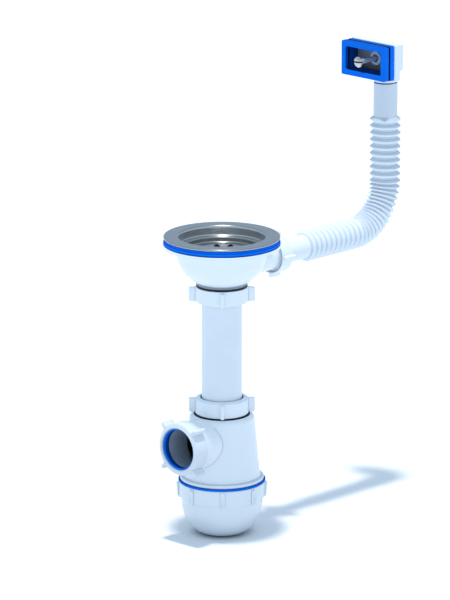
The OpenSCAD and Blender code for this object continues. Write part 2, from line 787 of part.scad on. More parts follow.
module outlet_nut() {
    along_minus_x(outlet_z) translate([0, 0, outlet_reach - nut_h])
        union_nut(neck_r, nut_hole_r, nut_r, nut_h, wing_tip_r, wing_angle);
}

// Blue ring between the body's flange and the cup's rim
module cup_seal() {
    color(blue) rotate_extrude() polygon([
        [ring_bore_r, ring_under], [ring_r - ring_t / 4, ring_under], [ring_r, ring_under + ring_t / 4],
        [ring_r, flange_z - ring_t / 4], [ring_r - ring_t / 4, flange_z], [ring_bore_r, flange_z]]);
}

// Points of the cup's bottom from its side to the floor; inset makes its inside
function cup_bottom(inset) = concat(
    arc(cup_side_x, cup_side_z, cup_side_r - inset, 0, cup_join_angle),
    tail(arc(cup_floor_x, cup_floor_arc_z, cup_floor_round - inset, cup_join_angle, -90)),
    [[0, cup_floor_z + inset]]);

module cup_outside_2d() {
    polygon(concat(
        [[0, ring_under], [cup_rim_r - rim_edge, ring_under], [cup_rim_r, ring_under - rim_edge],
            [cup_rim_r, skirt_end + rim_edge], [cup_bowl_r, skirt_end - rim_edge]],
        cup_bottom(0)));
}

module cup_inside_2d() {
    step_z = skirt_end + cup_wall;
    polygon(concat(
        [[0, ring_under + cut], [rim_in_r, ring_under + cut], [rim_in_r, step_z],
            [cup_bowl_r - cup_wall, step_z]],
        cup_bottom(cup_wall)));
}

// White cup with a threaded rim, grip ribs and a round bottom
module bottle_cup() {
    color(white) union() {
        rotate_extrude() difference() {
            cup_outside_2d();
            cup_inside_2d();
        }
        for (i = [0 : grip_count - 1])
            rotate([0, 0, 360 * i / grip_count]) grip_rib();
    }
}

// One grip rib: an upright bar with round ends that reaches out from the cup's rim
module grip_rib() {
    half = grip_w / 2;
    top = ring_under - grip_top_gap;
    start = rim_in_r + (cup_rim_r - rim_in_r) / 2;
    intersection() {
        translate([start, 0, 0]) rotate([90, 0, 90]) linear_extrude(height = grip_w + grip_out) {
            translate([-half, top - grip_h + half]) square([grip_w, grip_h - grip_w]);
            translate([0, top - half]) circle(r = half);
            translate([0, top - grip_h + half]) circle(r = half);
        }
        rotate_extrude() polygon([
            [0, top], [cup_rim_r + grip_out - grip_taper, top], [cup_rim_r + grip_out, top - grip_taper],
            [cup_rim_r + grip_out, top - grip_h + 2 * grip_taper], [cup_rim_r, top - grip_h],
            [0, top - grip_h]]);
    }
}

// Overflow union: the nut's mouth faces the bowl
module overflow_seal() {
    along_plus_x(branch_z) translate([0, 0, stub_end + fit_gap + seal_base_t]) mirror([0, 0, 1])
        cone_seal(cuff_r, stub_thread_r);
}

module overflow_nut() {
    along_plus_x(branch_z) translate([0, 0, overflow_nut_reach - small_nut_h])
        union_nut(stub_thread_r, cuff_r + nut_hole_gap, small_nut_r, small_nut_h,
            small_wing_tip_r, 0);
}

// Straight corrugated run of n crests, turned in one piece with its plain end. It starts
// on the root half a pitch above z = 0 and goes up to the end of the cuff.
module straight_run(n, cuff_len) {
    run = (n + half_share) * pitch;
    flat = flat_share * pitch;
    wave = concat(
        [[root_r, pitch / 2], [root_r, pitch / 2 + flat]],
        [for (i = [1 : n]) each [[crest_r, i * pitch], [root_r, (i + half_share) * pitch - flat],
            if (i < n) [root_r, (i + half_share) * pitch + flat]]],
        [[root_r, run]]);
    rotate_extrude() polygon(concat(wave,
        [[cuff_r, run], [cuff_r, run + cuff_len], [cuff_in_r, run + cuff_len], [cuff_in_r, run]],
        [for (i = [len(wave) - 1 : -1 : 0]) wave[i] - [hose_wall, 0]]));
}

// Corrugated hose: two straight runs, each one turned solid, joined by the swept bend
module overflow_hose() {
    color(white) union() {
        translate([bend_start, 0, branch_z]) rotate([0, -90, 0])
            straight_run(level_crests, level_start - hose_start);
        translate([hose_reach, 0, bend_top]) straight_run(upright_crests, upper_cuff_len);
        hose_bend();
    }
}

// Point and inward normal of the hose's centre line, s millimetres after the bend's start
function bend_point(s) =
    s < 0 ? [bend_start + s, 0, branch_z] :
    s > bend_len ? [hose_reach, 0, bend_top + s - bend_len] :
    [bend_start + bend_r * sin(bend_angle(s)), 0, branch_z + bend_r * (1 - cos(bend_angle(s)))];
function bend_angle(s) = 90 * min(max(s / bend_len, 0), 1);
function bend_normal(s) = [-sin(bend_angle(s)), 0, cos(bend_angle(s))];
function bend_ring(s, r) =
    [for (k = [0 : ring_sides - 1]) let (a = 360 * k / ring_sides)
        bend_point(s) + r * cos(a) * bend_normal(s) + r * sin(a) * [0, 1, 0]];

// Swept bend: from the root before its first crest to the root after its last
module hose_bend() {
    end_s = pitch / 2;
    flat = flat_share * bend_pitch;
    stations = concat(
        [[-end_s - lap, 0], [-end_s + flat, 0]],
        [for (i = [0 : bend_crests]) let (s = i * bend_pitch)
            each [[s, 1], if (i < bend_crests) [s + bend_pitch / 2 - flat, 0],
                if (i < bend_crests) [s + bend_pitch / 2 + flat, 0]]],
        [[bend_len + end_s - flat, 0], [bend_len + end_s + lap, 0]]);
    outer = [for (p = stations)
        bend_ring(p[0], (p[1] == 1 ? crest_r : root_r + lap_wall) * side_share)];
    inner = [for (p = stations)
        bend_ring(p[0], (p[1] == 1 ? crest_r : root_r) - hose_wall - lap_wall)];
    tube(outer, inner);
}

// Closed tube between two lists of rings with the same number of points
module tube(outer, inner) {
    n = len(outer);
    m = ring_sides;
    function at(layer, i, k) = layer * n * m + i * m + k % m;
    faces = concat(
        [for (i = [0 : n - 2], k = [0 : m - 1])
            each [[at(0, i, k), at(0, i, k + 1), at(0, i + 1, k)],
                [at(0, i, k + 1), at(0, i + 1, k + 1), at(0, i + 1, k)]]],
        [for (i = [0 : n - 2], k = [0 : m - 1])
            each [[at(1, i, k), at(1, i + 1, k), at(1, i, k + 1)],
                [at(1, i, k + 1), at(1, i + 1, k), at(1, i + 1, k + 1)]]],
        [for (k = [0 : m - 1])
            each [[at(0, 0, k), at(1, 0, k), at(0, 0, k + 1)],
                [at(0, 0, k + 1), at(1, 0, k), at(1, 0, k + 1)],
                [at(0, n - 1, k), at(0, n - 1, k + 1), at(1, n - 1, k)],
                [at(0, n - 1, k + 1), at(1, n - 1, k + 1), at(1, n - 1, k)]]]);
    polyhedron(points = [for (ring = concat(outer, inner)) each ring], faces = faces, convexity = 10);
}

// White overflow housing: a shallow tray, a duct bulge, a pad and the spigot in the hose
module overflow_elbow() {
    inner_w = housing_w - 2 * housing_wall;
    inner_h = housing_h - 2 * housing_wall;
    color(white) difference() {
        union() {
            on_head(frame_d) linear_extrude(height = housing_d)
                translate([0, -frame_rise]) round_rect(housing_w, housing_h, housing_round);
            duct_bulge(0);
            on_head(housing_back - cut) cylinder(r = rear_boss_r, h = rear_boss_len + cut);
            translate([hose_reach, 0, housing_foot]) cylinder(r = neck_pad_r, h = neck_pad_t);
            translate([hose_reach, 0, housing_foot - spigot_len])
                cylinder(r = spigot_r, h = spigot_len + neck_pad_t);
        }
        difference() {
            union() {
                on_head(frame_d - cut) linear_extrude(height = housing_d - housing_wall + cut)
                    translate([0, -frame_rise]) round_rect(inner_w, inner_h, housing_round);
                duct_bulge(housing_wall);
                spigot_passage();
            }
            on_head(back_wall - screw_ring_t) cylinder(r = screw_ring_r, h = rear_boss_len);
        }
        on_head(back_wall - screw_ring_t - cut)
            cylinder(r = screw_ring_hole_r, h = housing_wall + screw_ring_t + cut);
        on_head(housing_back - cut)
            cylinder(r = insert_r + insert_gap, h = insert_len + cut + insert_end_gap);
        on_head(housing_back) cylinder(r = screw_r + fit_gap, h = rear_boss_len + cut);
    }
}

// Bulge behind the housing's hose side, drawn from its side view; inset makes its inside
module duct_bulge(inset) {
    front = inset == 0 ? housing_back - cut : frame_d;
    back = housing_back + bulge_d - inset;
    top = inset == 0 ? bulge_top : bulge_top - bulge_notch - inset;
    dip = inset == 0 ? bulge_notch : 0;
    low = bulge_low + inset;
    notch = housing_back + bulge_d * notch_share - inset / 2;
    bevel_end = housing_back + bulge_d * bevel_end_share - inset / 2;
    translate([face_x, head_offset - bulge_edge + inset, face_z]) rotate([90, 0, 0]) mirror([0, 0, 1])
        linear_extrude(height = bulge_edge + bulge_side - 2 * inset) polygon([
            [front, top], [housing_back, top], [notch, top - dip], [back, top],
            [back, low + bulge_bevel], [bevel_end, low], [front, low]]);
}

// Water way from the housing's floor down through the spigot
module spigot_passage() {
    translate([hose_reach, 0, housing_foot - spigot_len - cut])
        cylinder(r = spigot_r - spigot_wall, h = spigot_len + cut + neck_pad_t - duct_gap);
    intersection() {
        translate([hose_reach, 0, housing_foot]) cylinder(r = spigot_r - spigot_wall, h = housing_h / 2);
        on_head(frame_d + housing_wall / 2) linear_extrude(height = back_wall - frame_d - housing_wall / 2)
            round_rect(housing_w, housing_h, housing_round);
    }
}

// Blue frame in front of the housing: two bands with a groove, and a stepped opening
module overflow_gasket() {
    hole_w = frame_w - 2 * frame_border;
    hole_h = frame_h - 2 * frame_border;
    color(blue) difference() {
        on_head() linear_extrude(height = frame_d) round_rect(frame_w, frame_h, frame_edge_round);
        on_head(frame_d * groove_start_share) linear_extrude(height = frame_groove) difference() {
            square([frame_w + cut, frame_h + cut], center = true);
            round_rect(frame_w - 2 * frame_groove, frame_h - 2 * frame_groove, frame_edge_round);
        }
        on_head(-cut) linear_extrude(height = frame_d + 2 * cut) round_rect(hole_w, hole_h, frame_round);
        on_head(frame_d * step_start_share)
            linear_extrude(height = frame_d * (step_end_share - step_start_share))
                round_rect(hole_w + 2 * lip_step, hole_h + 2 * lip_step, frame_round);
    }
}

module elbow_insert() {
    on_head(housing_back + fit_gap) mirror([0, 0, 1]) brass_insert(insert_len);
}

module overflow_screw() {
    on_head(-screw_stand + screw_dome_h) rotate([0, 0, screw_turn]) mirror([0, 0, 1])
        slotted_screw(overflow_screw_len);
}

strainer();
strainer_screw();
sink_gasket();
outlet_bowl();
bowl_insert();
upper_seal();
upper_nut();
down_pipe();
lower_seal();
lower_nut();
bottle_body();
outlet_seal();
outlet_nut();
cup_seal();
bottle_cup();
overflow_seal();
overflow_nut();
overflow_hose();
overflow_elbow();
overflow_gasket();
elbow_insert();
overflow_screw();
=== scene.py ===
"""Kitchen sink trap with a corrugated overflow hose: the finished look round its CAD frame.

Each operator below makes one piece, or a group of like pieces, and the stage comes last.
Lengths inside the builders are in millimetres and leave them in metres.
"""

from math import atan2, cos, degrees, hypot, pi, radians, sin, sqrt, tan

import bmesh
import bpy
from bpy.props import FloatProperty, FloatVectorProperty, IntProperty, PointerProperty
from mathutils import Matrix, Vector


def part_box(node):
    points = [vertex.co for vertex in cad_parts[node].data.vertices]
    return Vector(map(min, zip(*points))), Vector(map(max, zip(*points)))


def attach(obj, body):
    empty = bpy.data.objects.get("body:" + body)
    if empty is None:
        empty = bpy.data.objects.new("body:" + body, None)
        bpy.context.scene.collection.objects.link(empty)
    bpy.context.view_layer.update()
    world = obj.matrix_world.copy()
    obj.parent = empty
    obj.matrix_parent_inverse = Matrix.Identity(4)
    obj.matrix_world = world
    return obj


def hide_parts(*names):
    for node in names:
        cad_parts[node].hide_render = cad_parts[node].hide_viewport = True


bl_info = {
    "name": "Sink trap looks",
    "version": (1, 0, 0),
    "blender": (4, 5, 0),
    "location": "3D View > Sidebar > Sink trap",
    "description": "Builds the visible pieces of a sink trap round its CAD frame",
    "category": "Object",
}

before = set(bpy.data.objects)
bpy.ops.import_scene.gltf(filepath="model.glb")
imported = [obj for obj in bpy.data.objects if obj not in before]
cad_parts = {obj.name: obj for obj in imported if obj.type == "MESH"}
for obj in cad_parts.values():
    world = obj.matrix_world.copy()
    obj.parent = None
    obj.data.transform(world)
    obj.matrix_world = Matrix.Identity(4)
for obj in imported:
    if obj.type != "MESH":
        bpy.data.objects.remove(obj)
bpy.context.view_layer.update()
MM = 0.001


# Sizes and colours


class TrapSizes(bpy.types.PropertyGroup):
    """Sizes that a user would change."""

    edge_round: FloatProperty(
        name="Edge rounding", description="Radius of the small rounds on moulded edges",
        default=0.0006, min=0.0001, unit="LENGTH")
    web_round: FloatProperty(
        name="Web rounding",
        description="How far the fillet of a branch reaches along the pipe and the body",
        default=0.0016, min=0.001, unit="LENGTH")
    crest_round: FloatProperty(
        name="Crest rounding", description="Radius of the hose's crests", default=0.00055,
        min=0.0001, unit="LENGTH")
    hose_pitch: FloatProperty(
        name="Hose pitch", description="Distance between two crests on the hose's straight runs",
        default=0.0071, min=0.004, unit="LENGTH")
    hose_bend: FloatProperty(
        name="Hose bend", description="Radius of the hose's bend along its centre line",
        default=0.0471, min=0.03, unit="LENGTH")
    cup_rib_flare: FloatProperty(
        name="Cup rib flare", description="How much a grip rib widens where it leaves the cup",
        default=0.0007, min=0.0, unit="LENGTH")
    ring_steps: IntProperty(
        name="Ring steps", description="Points round a turned piece", default=128, min=32, max=256)
    hose_steps: IntProperty(
        name="Hose steps", description="Points round the hose", default=72, min=24, max=128)


class TrapColours(bpy.types.PropertyGroup):
    """Base colours of the finishes, as linear values."""

    plastic: FloatVectorProperty(
        name="White plastic", description="Colour of the moulded white pieces", subtype="COLOR",
        default=(0.80, 0.84, 0.87), min=0.0, max=1.0)
    hose: FloatVectorProperty(
        name="Hose plastic", description="Colour of the blow-moulded hose", subtype="COLOR",
        default=(0.74, 0.79, 0.84), min=0.0, max=1.0)
    rubber: FloatVectorProperty(
        name="Blue rubber", description="Colour of the seals", subtype="COLOR",
        default=(0.0, 0.185, 0.92), min=0.0, max=1.0)
    sheet: FloatVectorProperty(
        name="Stainless sheet", description="Colour of the pressed strainer", subtype="COLOR",
        default=(0.36, 0.36, 0.355), min=0.0, max=1.0)
    brass: FloatVectorProperty(
        name="Brass", description="Colour of the threaded inserts", subtype="COLOR",
        default=(0.60, 0.42, 0.16), min=0.0, max=1.0)


def sizes():
    return bpy.context.scene.trap_sizes


def colours():
    return bpy.context.scene.trap_colours


# Shader maths


class Wire:
    """A shader number. Sums, products and powers of it add Math nodes to its material."""

    def __init__(self, finish, socket):
        self.finish = finish
        self.socket = socket

    def maths(self, operation, first, second):
        return self.finish.node("ShaderNodeMath", {"operation": operation}, {0: first, 1: second})

    def __add__(self, other):
        return self.maths("ADD", self, other)

    def __radd__(self, other):
        return self.maths("ADD", other, self)

    def __sub__(self, other):
        return self.maths("SUBTRACT", self, other)

    def __rsub__(self, other):
        return self.maths("SUBTRACT", other, self)

    def __mul__(self, other):
        return self.maths("MULTIPLY", self, other)

    def __rmul__(self, other):
        return self.maths("MULTIPLY", other, self)

    def __truediv__(self, other):
        return self.maths("DIVIDE", self, other)

    def __rtruediv__(self, other):
        return self.maths("DIVIDE", other, self)

    def __pow__(self, other):
        return self.maths("POWER", self, other)

    def __rpow__(self, other):
        return self.maths("POWER", other, self)

    def clamped(self):
        """The number kept between 0 and 1."""
        return self.finish.node("ShaderNodeClamp", {}, {"Value": self})

    def between(self, start, end):
        """0 below start and 1 above end, with an even rise between them."""
        return ((self - start) / (end - start)).clamped()


class Finish:
    """A material, and the one method that adds its nodes."""

    def __init__(self, name):
        self.material = bpy.data.materials.new(name)
        self.material.use_nodes = True
        self.tree = self.material.node_tree
        self.tree.nodes.clear()
        self.shader = self.tree.nodes.new("ShaderNodeBsdfPrincipled")
        output = self.tree.nodes.new("ShaderNodeOutputMaterial")
        self.tree.links.new(self.shader.outputs["BSDF"], output.inputs["Surface"])

    def node(self, kind, settings, inputs, output=0):
        """Adds a node: its settings come first, then the values and links of its sockets."""
        made = self.tree.nodes.new(kind)
        for name, value in settings.items():
            setattr(made, name, value)
        for name, value in inputs.items():
            self.feed(made.inputs[name], value)
        return Wire(self, made.outputs[output])

    def feed(self, socket, value):
        if isinstance(value, Wire):
            self.tree.links.new(value.socket, socket)
        else:
            socket.default_value = value

    def set(self, **inputs):
        """Gives the main shader's sockets their values or links; names use _ for a space."""
        for name, value in inputs.items():
            self.feed(self.shader.inputs[name.replace("_", " ")], value)

    def place(self):
        """The point on the surface, in the frame's own metres."""
        return self.node("ShaderNodeTexCoord", {}, {}, "Object")

    def part(self, place, axis):
        """One coordinate of a place."""
        return self.node("ShaderNodeSeparateXYZ", {}, {0: place}, axis)

    def reach(self, place):
        """Distance of a place from the z axis."""
        x, y = self.part(place, 0), self.part(place, 1)
        return (x * x + y * y) ** 0.5

    def noise(self, place, scale, detail, roughness=0.5):
        inputs = {"Vector": place, "Scale": scale, "Detail": detail, "Roughness": roughness}
        return self.node("ShaderNodeTexNoise", {}, inputs, 0)

    def mixed(self, mask, first, second):
        """Colour that goes from first to second as the mask goes from 0 to 1."""
        inputs = {0: mask, 6: (*first, 1.0), 7: (*second, 1.0)}
        return self.node("ShaderNodeMix", {"data_type": "RGBA"}, inputs, 2)

    def bump(self, height, strength, depth):
        inputs = {"Height": height, "Strength": strength, "Distance": depth}
        return self.node("ShaderNodeBump", {}, inputs, 0)


def shade(colour, factor):
    return tuple(min(1.0, channel * factor) for channel in colour)


def moulded_plastic(name, colour, roughness, grain):
    """Injection-moulded plastic: faint cloudy tint, fine skin, a soft gloss."""
    finish = Finish(name)
    place = finish.place()
    cloud = finish.noise(place, 38.0, 3.0)
    skin = finish.noise(place, 900.0, 2.0)
    tint = finish.mixed(cloud.between(0.3, 0.7), shade(colour, 0.975), shade(colour, 1.02))
    finish.set(
        Base_Color=tint,
        Roughness=roughness + 0.10 * (skin - 0.5) + 0.06 * (cloud - 0.5),
        IOR=1.49,
        Coat_Weight=0.08,
        Coat_Roughness=0.12,
        Normal=finish.bump(skin + 3.0 * cloud, grain, 0.00006),
    )
    return finish.material


def shaded_bore(name, dark, light, axis, start, end):
    """Inside of a pipe, with painted shade: the wall goes from light at its mouth to dark further
    in.
    """
    finish = Finish(name)
    place = finish.place()
    depth = finish.part(place, axis).between(start, end)
    shade_and_smear = finish.noise(place, 60.0, 4.0)
    mask = (depth + 0.25 * (shade_and_smear - 0.5)).clamped()
    finish.set(
        Base_Color=finish.mixed(mask, light, dark),
        Roughness=0.34 + 0.12 * shade_and_smear,
        IOR=1.46,
        Normal=finish.bump(shade_and_smear, 0.08, 0.0003),
    )
    return finish.material


def seal_rubber(name, colour):
    """Blue seal rubber: even colour, a matt bloom and a fine skin."""
    finish = Finish(name)
    place = finish.place()
    bloom = finish.noise(place, 70.0, 4.0)
    skin = finish.noise(place, 1400.0, 2.0)
    tint = finish.mixed(bloom.between(0.35, 0.75), shade(colour, 0.92), shade(colour, 1.06))
    finish.set(
        Base_Color=tint,
        Roughness=0.58 + 0.16 * (bloom - 0.5) + 0.05 * skin,
        IOR=1.5,
        Specular_IOR_Level=0.06,
        Normal=finish.bump(skin, 0.12, 0.00008),
    )
    return finish.material


def turned_sheet(name, colour):
    """Pressed stainless sheet, polished round its axis: fine rings and a few cloudy places."""
    finish = Finish(name)
    place = finish.place()
    inputs = {0: finish.reach(place), 1: finish.part(place, 2), 2: 0.0}
    rings = finish.node("ShaderNodeCombineXYZ", {}, inputs)
    lines = finish.noise(rings, 2600.0, 3.0, 0.6)
    cloud = finish.noise(place, 45.0, 3.0)
    tint = finish.mixed(lines.between(0.25, 0.75), shade(colour, 0.97), shade(colour, 1.03))
    finish.set(
        Base_Color=tint,
        Metallic=1.0,
        Roughness=0.29 + 0.06 * (lines - 0.5) + 0.10 * (cloud - 0.5),
        Normal=finish.bump(lines, 0.05, 0.00004),
    )
    return finish.material


def turned_metal(name, dark, light, metallic, roughness, sway, scale, grain):
    """Screws and inserts: metal with a faint cloud in its colour, its gloss and its skin."""
    finish = Finish(name)
    cloud = finish.noise(finish.place(), scale, 3.0)
    finish.set(
        Base_Color=finish.mixed(cloud.between(0.3, 0.7), dark, light),
        Metallic=metallic,
        Roughness=roughness + sway * (cloud - 0.5),
        Normal=finish.bump(cloud, grain, 0.0001),
    )
    return finish.material


# Plastics, most of them painted shade or a painted highlight on the white plastic: linear colour,
# roughness, and how strong the skin's grain is
PLASTICS = {
    "outlet_plastic": ((0.80, 0.84, 0.88), 0.38, 0.10),
    # a painted highlight on the small rounds of outer edges
    "edge_plastic": ((0.94, 0.96, 0.98), 0.30, 0.06),
    # a cream painted highlight on the foot of the strainer's rim
    "sheet_edge": ((0.96, 0.90, 0.78), 0.40, 0.05),
    "faint_shade": ((0.70, 0.74, 0.78), 0.40, 0.10),
    "soft_shade": ((0.56, 0.60, 0.64), 0.42, 0.10),
    "shaded_collar": ((0.36, 0.40, 0.45), 0.45, 0.10),
    "gap_shade": ((0.012, 0.013, 0.016), 0.70, 0.05),
    "hose_shade": ((0.70, 0.75, 0.81), 0.44, 0.12),
    "hose_flank": ((0.66, 0.71, 0.77), 0.46, 0.12),
    "hose_root": ((0.59, 0.64, 0.70), 0.50, 0.10),
    "head_ring": ((0.46, 0.56, 0.76), 0.40, 0.10),
}
# Blue rubbers, each as a share of the seals' colour; all but the first are painted shade
RUBBERS = {"seal_rubber": 1.0, "deep_rubber": 0.50, "shaded_rubber": 0.36, "rubber_gap": 0.06}


def finish_of(name):
    """The material of that name, made on its first use."""
    made = bpy.data.materials.get(name)
    if made is not None:
        return made
    if name in PLASTICS:
        return moulded_plastic(name, *PLASTICS[name])
    chosen = colours()
    if name in RUBBERS:
        return seal_rubber(name, shade(chosen.rubber, RUBBERS[name]))
    grey, pale_grey = (0.50, 0.50, 0.50), (0.62, 0.62, 0.62)
    zinc, pale_zinc = (0.56, 0.61, 0.70), (0.68, 0.73, 0.82)
    brass, pale_brass = shade(chosen.brass, 0.85), shade(chosen.brass, 1.1)
    maker, *values = {
        "white_plastic": (moulded_plastic, shade(chosen.plastic, 1.0), 0.36, 0.10),
        # a lighter copy of the white plastic, painted light on the down pipe
        "pipe_plastic": (moulded_plastic, shade(chosen.plastic, 1.07), 0.36, 0.10),
        "hose_plastic": (moulded_plastic, shade(chosen.hose, 1.0), 0.42, 0.14),
        "outlet_bore": (shaded_bore, (0.34, 0.38, 0.43), (0.44, 0.49, 0.55), 0, -0.056, -0.026),
        "head_bore": (shaded_bore, (0.24, 0.28, 0.37), (0.13, 0.12, 0.11), 2, 0.128, 0.146),
        "turned_sheet": (turned_sheet, shade(chosen.sheet, 1.0)),
        # a brighter copy of the sheet, painted light on the strainer's upper wall
        "bright_wall": (turned_sheet, shade(chosen.sheet, 1.8)),
        "bright_steel": (turned_metal, grey, pale_grey, 1.0, 0.24, 0.16, 300.0, 0.06),
        "dull_steel": (turned_metal, zinc, pale_zinc, 0.30, 0.40, 0.16, 260.0, 0.08),
        "turned_brass": (turned_metal, brass, pale_brass, 1.0, 0.30, 0.20, 400.0, 0.0),
    }[name]
    return maker(name, *values)


# Outlines and solids, in millimetres


def rounded(corners, steps=4, closed=True):
    """Points of an outline whose corners (x, y, radius) are replaced by arcs."""
    count = len(corners)
    points = []
    for i, (x, y, radius) in enumerate(corners):
        here = Vector((x, y))
        if not closed and i in (0, count - 1) or radius <= 0:
            points.append((x, y))
            continue
        before = Vector(corners[i - 1][:2]) - here
        after = Vector(corners[(i + 1) % count][:2]) - here
        angle = before.angle(after)
        if angle > pi - 0.02:
            points.append((x, y))
            continue
        reach = min(radius / tan(angle / 2), before.length * 0.49, after.length * 0.49)
        size = reach * tan(angle / 2)
        start = here + before.normalized() * reach
        end = here + after.normalized() * reach
        inward = (before.normalized() + after.normalized()).normalized()
        centre = here + inward * (size / sin(angle / 2))
        first = start - centre
        turn = first.angle_signed(end - centre)
        for k in range(steps + 1):
            a = -turn * k / steps
            x1 = first.x * cos(a) - first.y * sin(a)
            y1 = first.x * sin(a) + first.y * cos(a)
            points.append((centre.x + x1, centre.y + y1))
    return points


def rounded_box(w, h, radius, steps):
    """Outline of a rectangle with round corners, from half its width and half its height."""
    return rounded([(w, h, radius), (-w, h, radius), (-w, -h, radius), (w, -h, radius)], steps)


def arc_points(x, y, radius, start, end, steps):
    """Points on an arc, angles in degrees."""
    angles = [radians(start + (end - start) * k / steps) for k in range(steps + 1)]
    return [(x + radius * cos(a), y + radius * sin(a)) for a in angles]


def add_rings(shape, rings, around=True, along=False):
    """Joins rings of points with faces. around closes each ring, along joins last to first."""
    made = [[shape.verts.new(p) for p in ring] for ring in rings]
    pairs = list(zip(made, made[1:]))
    if along:
        pairs.append((made[-1], made[0]))
    for one, other in pairs:
        count = len(one)
        for k in range(count if around else count - 1):
            n = (k + 1) % count
            shape.faces.new((one[k], one[n], other[n], other[k]))
    return made


def capped(rings):
    """A solid through rings of points, with a flat face at each end."""
    shape = bmesh.new()
    made = add_rings(shape, rings)
    shape.faces.new(made[0])
    shape.faces.new(made[-1])
    return shape


def turned(outline, steps=None, closed=True):
    """A shape turned round the z axis from an outline of (radius, z)."""
    steps = steps or sizes().ring_steps
    angles = [2 * pi * k / steps for k in range(steps)]
    rings = [[(radius * cos(a), radius * sin(a), z) for a in angles]
             for radius, z in outline]
    shape = bmesh.new()
    add_rings(shape, rings, along=closed)
    bmesh.ops.remove_doubles(shape, verts=shape.verts, dist=1e-5)
    return shape


def lathed(corners, corner_steps=4, steps=None):
    """A shape turned round the z axis from corners (radius, z, rounding)."""
    return turned(rounded(corners, corner_steps), steps)


def plug(radius, start, end, steps):
    """A plain cylinder that stands on the z axis."""
    return turned([(0.0, start), (radius, start), (radius, end), (0.0, end)], steps)


def moved(shape, matrix):
    bmesh.ops.transform(shape, matrix=matrix, verts=shape.verts)
    return shape


def shift(x, y, z):
    return Matrix.Translation((x, y, z))


def spin(angle):
    """A turn about the z axis, in degrees."""
    return Matrix.Rotation(radians(angle), 4, "Z")


def spread(make, count, first=0.0):
    """Like forms, evenly spaced round the z axis from the first one's angle on."""
    return [moved(make(), spin(first + 360.0 * k / count)) for k in range(count)]


def joined(shapes):
    """One shape that holds all the given ones."""
    whole = bmesh.new()
    for shape in shapes:
        part = bpy.data.meshes.new("part")
        shape.to_mesh(part)
        whole.from_mesh(part)
        bpy.data.meshes.remove(part)
        shape.free()
    return whole


def mesh_of(shape, name):
    mesh = bpy.data.meshes.new(name)
    shape.to_mesh(mesh)
    shape.free()
    return mesh


def linked(name, data):
    """A new object of the scene that holds the data."""
    made = bpy.data.objects.new(name, data)
    bpy.context.scene.collection.objects.link(made)
    return made


def cut(base, *tools):
    """The base shape less each of the tool shapes, by exact booleans."""
    extras = []
    for shape in (base, *tools):
        bmesh.ops.recalc_face_normals(shape, faces=shape.faces)
        extras.append(linked("solid", mesh_of(shape, "solid")))
    holder = extras[0]
    for cutter in extras[1:]:
        step = holder.modifiers.new("cut", "BOOLEAN")
        step.operation = "DIFFERENCE"
        step.object = cutter
        step.solver = "EXACT"
    graph = bpy.context.evaluated_depsgraph_get()
    done = bpy.data.meshes.new_from_object(holder.evaluated_get(graph))
    shape = bmesh.new()
    shape.from_mesh(done)
    for extra in extras:
        mesh = extra.data
        bpy.data.objects.remove(extra)
        bpy.data.meshes.remove(mesh)
    bpy.data.meshes.remove(done)
    return shape


def piece(name, shape, body, node, paint, angle=38.0):
    """Makes the shown piece that stands for a CAD node: in metres, smooth, painted, on its body.

    paint gives the name of the finish for a face's middle, in millimetres, and its normal.
    """
    moved(shape, Matrix.Scale(MM, 4))
    bmesh.ops.recalc_face_normals(shape, faces=shape.faces)
    finishes = []
    for face in shape.faces:
        finish = paint(face.calc_center_median() / MM, face.normal)
        if finish not in finishes:
            finishes.append(finish)
        face.material_index = finishes.index(finish)
    mesh = mesh_of(shape, name)
    mesh.polygons.foreach_set("use_smooth", [True] * len(mesh.polygons))
    mesh.set_sharp_from_angle(angle=radians(angle))
    for finish in finishes:
        mesh.materials.append(finish_of(finish))
    made = linked(name, mesh)
    weighted = made.modifiers.new("weighted", "WEIGHTED_NORMAL")
    weighted.keep_sharp = True
    weighted.weight = 60
    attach(made, body)
    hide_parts(node)


def repaint(node, finish):
    """Gives a CAD node that stays in view a better material."""
    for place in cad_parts[node].material_slots:
        place.material = finish_of(finish)


# Places and sizes that the pieces share, read from the CAD frame or equal to part.scad's


def low(node, axis):
    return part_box(node)[0][axis] / MM


def high(node, axis):
    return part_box(node)[1][axis] / MM


def width(node, axis):
    """Width of a CAD node along one axis."""
    return high(node, axis) - low(node, axis)


def middle(node, axis):
    return (low(node, axis) + high(node, axis)) / 2


X, Y, Z = 0, 1, 2
PIPE_R = width("down_pipe", X) / 2
BORE_R = PIPE_R + 0.3
# The seat of a cone seal: its radius at the mouth and at its foot, and its depth
SEAT_MOUTH_R = PIPE_R + 2.3
SEAT_FOOT_R = PIPE_R + 1.3
SEAT_DEPTH = 4.9

GASKET_TOP = high("sink_gasket", Z)
LIP_TOP = low("sink_gasket", Z)
LIP_UNDER = LIP_TOP - 2.7
LIP_R = -low("outlet_bowl", X)
BOWL_R = 46.0
BOWL_WALL = 2.3
FOOT_R = 26.4
FOOT_Z = LIP_UNDER - 35.0
ARC_R = ((BOWL_R - FOOT_R) ** 2 + (LIP_UNDER - FOOT_Z) ** 2) / (2 * (BOWL_R - FOOT_R))
COLLAR_R = 25.3
COLLAR_H = 3.9
COLLAR_Z = FOOT_Z - COLLAR_H
NECK_R = 23.9
NECK_END = low("outlet_bowl", Z)
BRANCH_Z = middle("overflow_nut", Z)
STUB_R = 14.7
STUB_THREAD_R = 16.0
STUB_BORE_R = 12.5
STUB_END = high("outlet_bowl", X)

# The nuts on the pipe and the outlet, then the smaller one on the hose
NUT_R = 26.3
NUT_HOLE = PIPE_R + 0.9
WING_TIP = 32.8
WING_T = 3.7
WING_TURN = 45.0
SMALL_NUT_R = 18.8
SMALL_WING_TIP = 23.2
SMALL_WING_T = 3.5
NUT_SHOULDER = 2.4
WING_FLARE = 0.6
# How far from a nut's edge the piece beside it is still in the nut's shade
NUT_GAP = 1.5

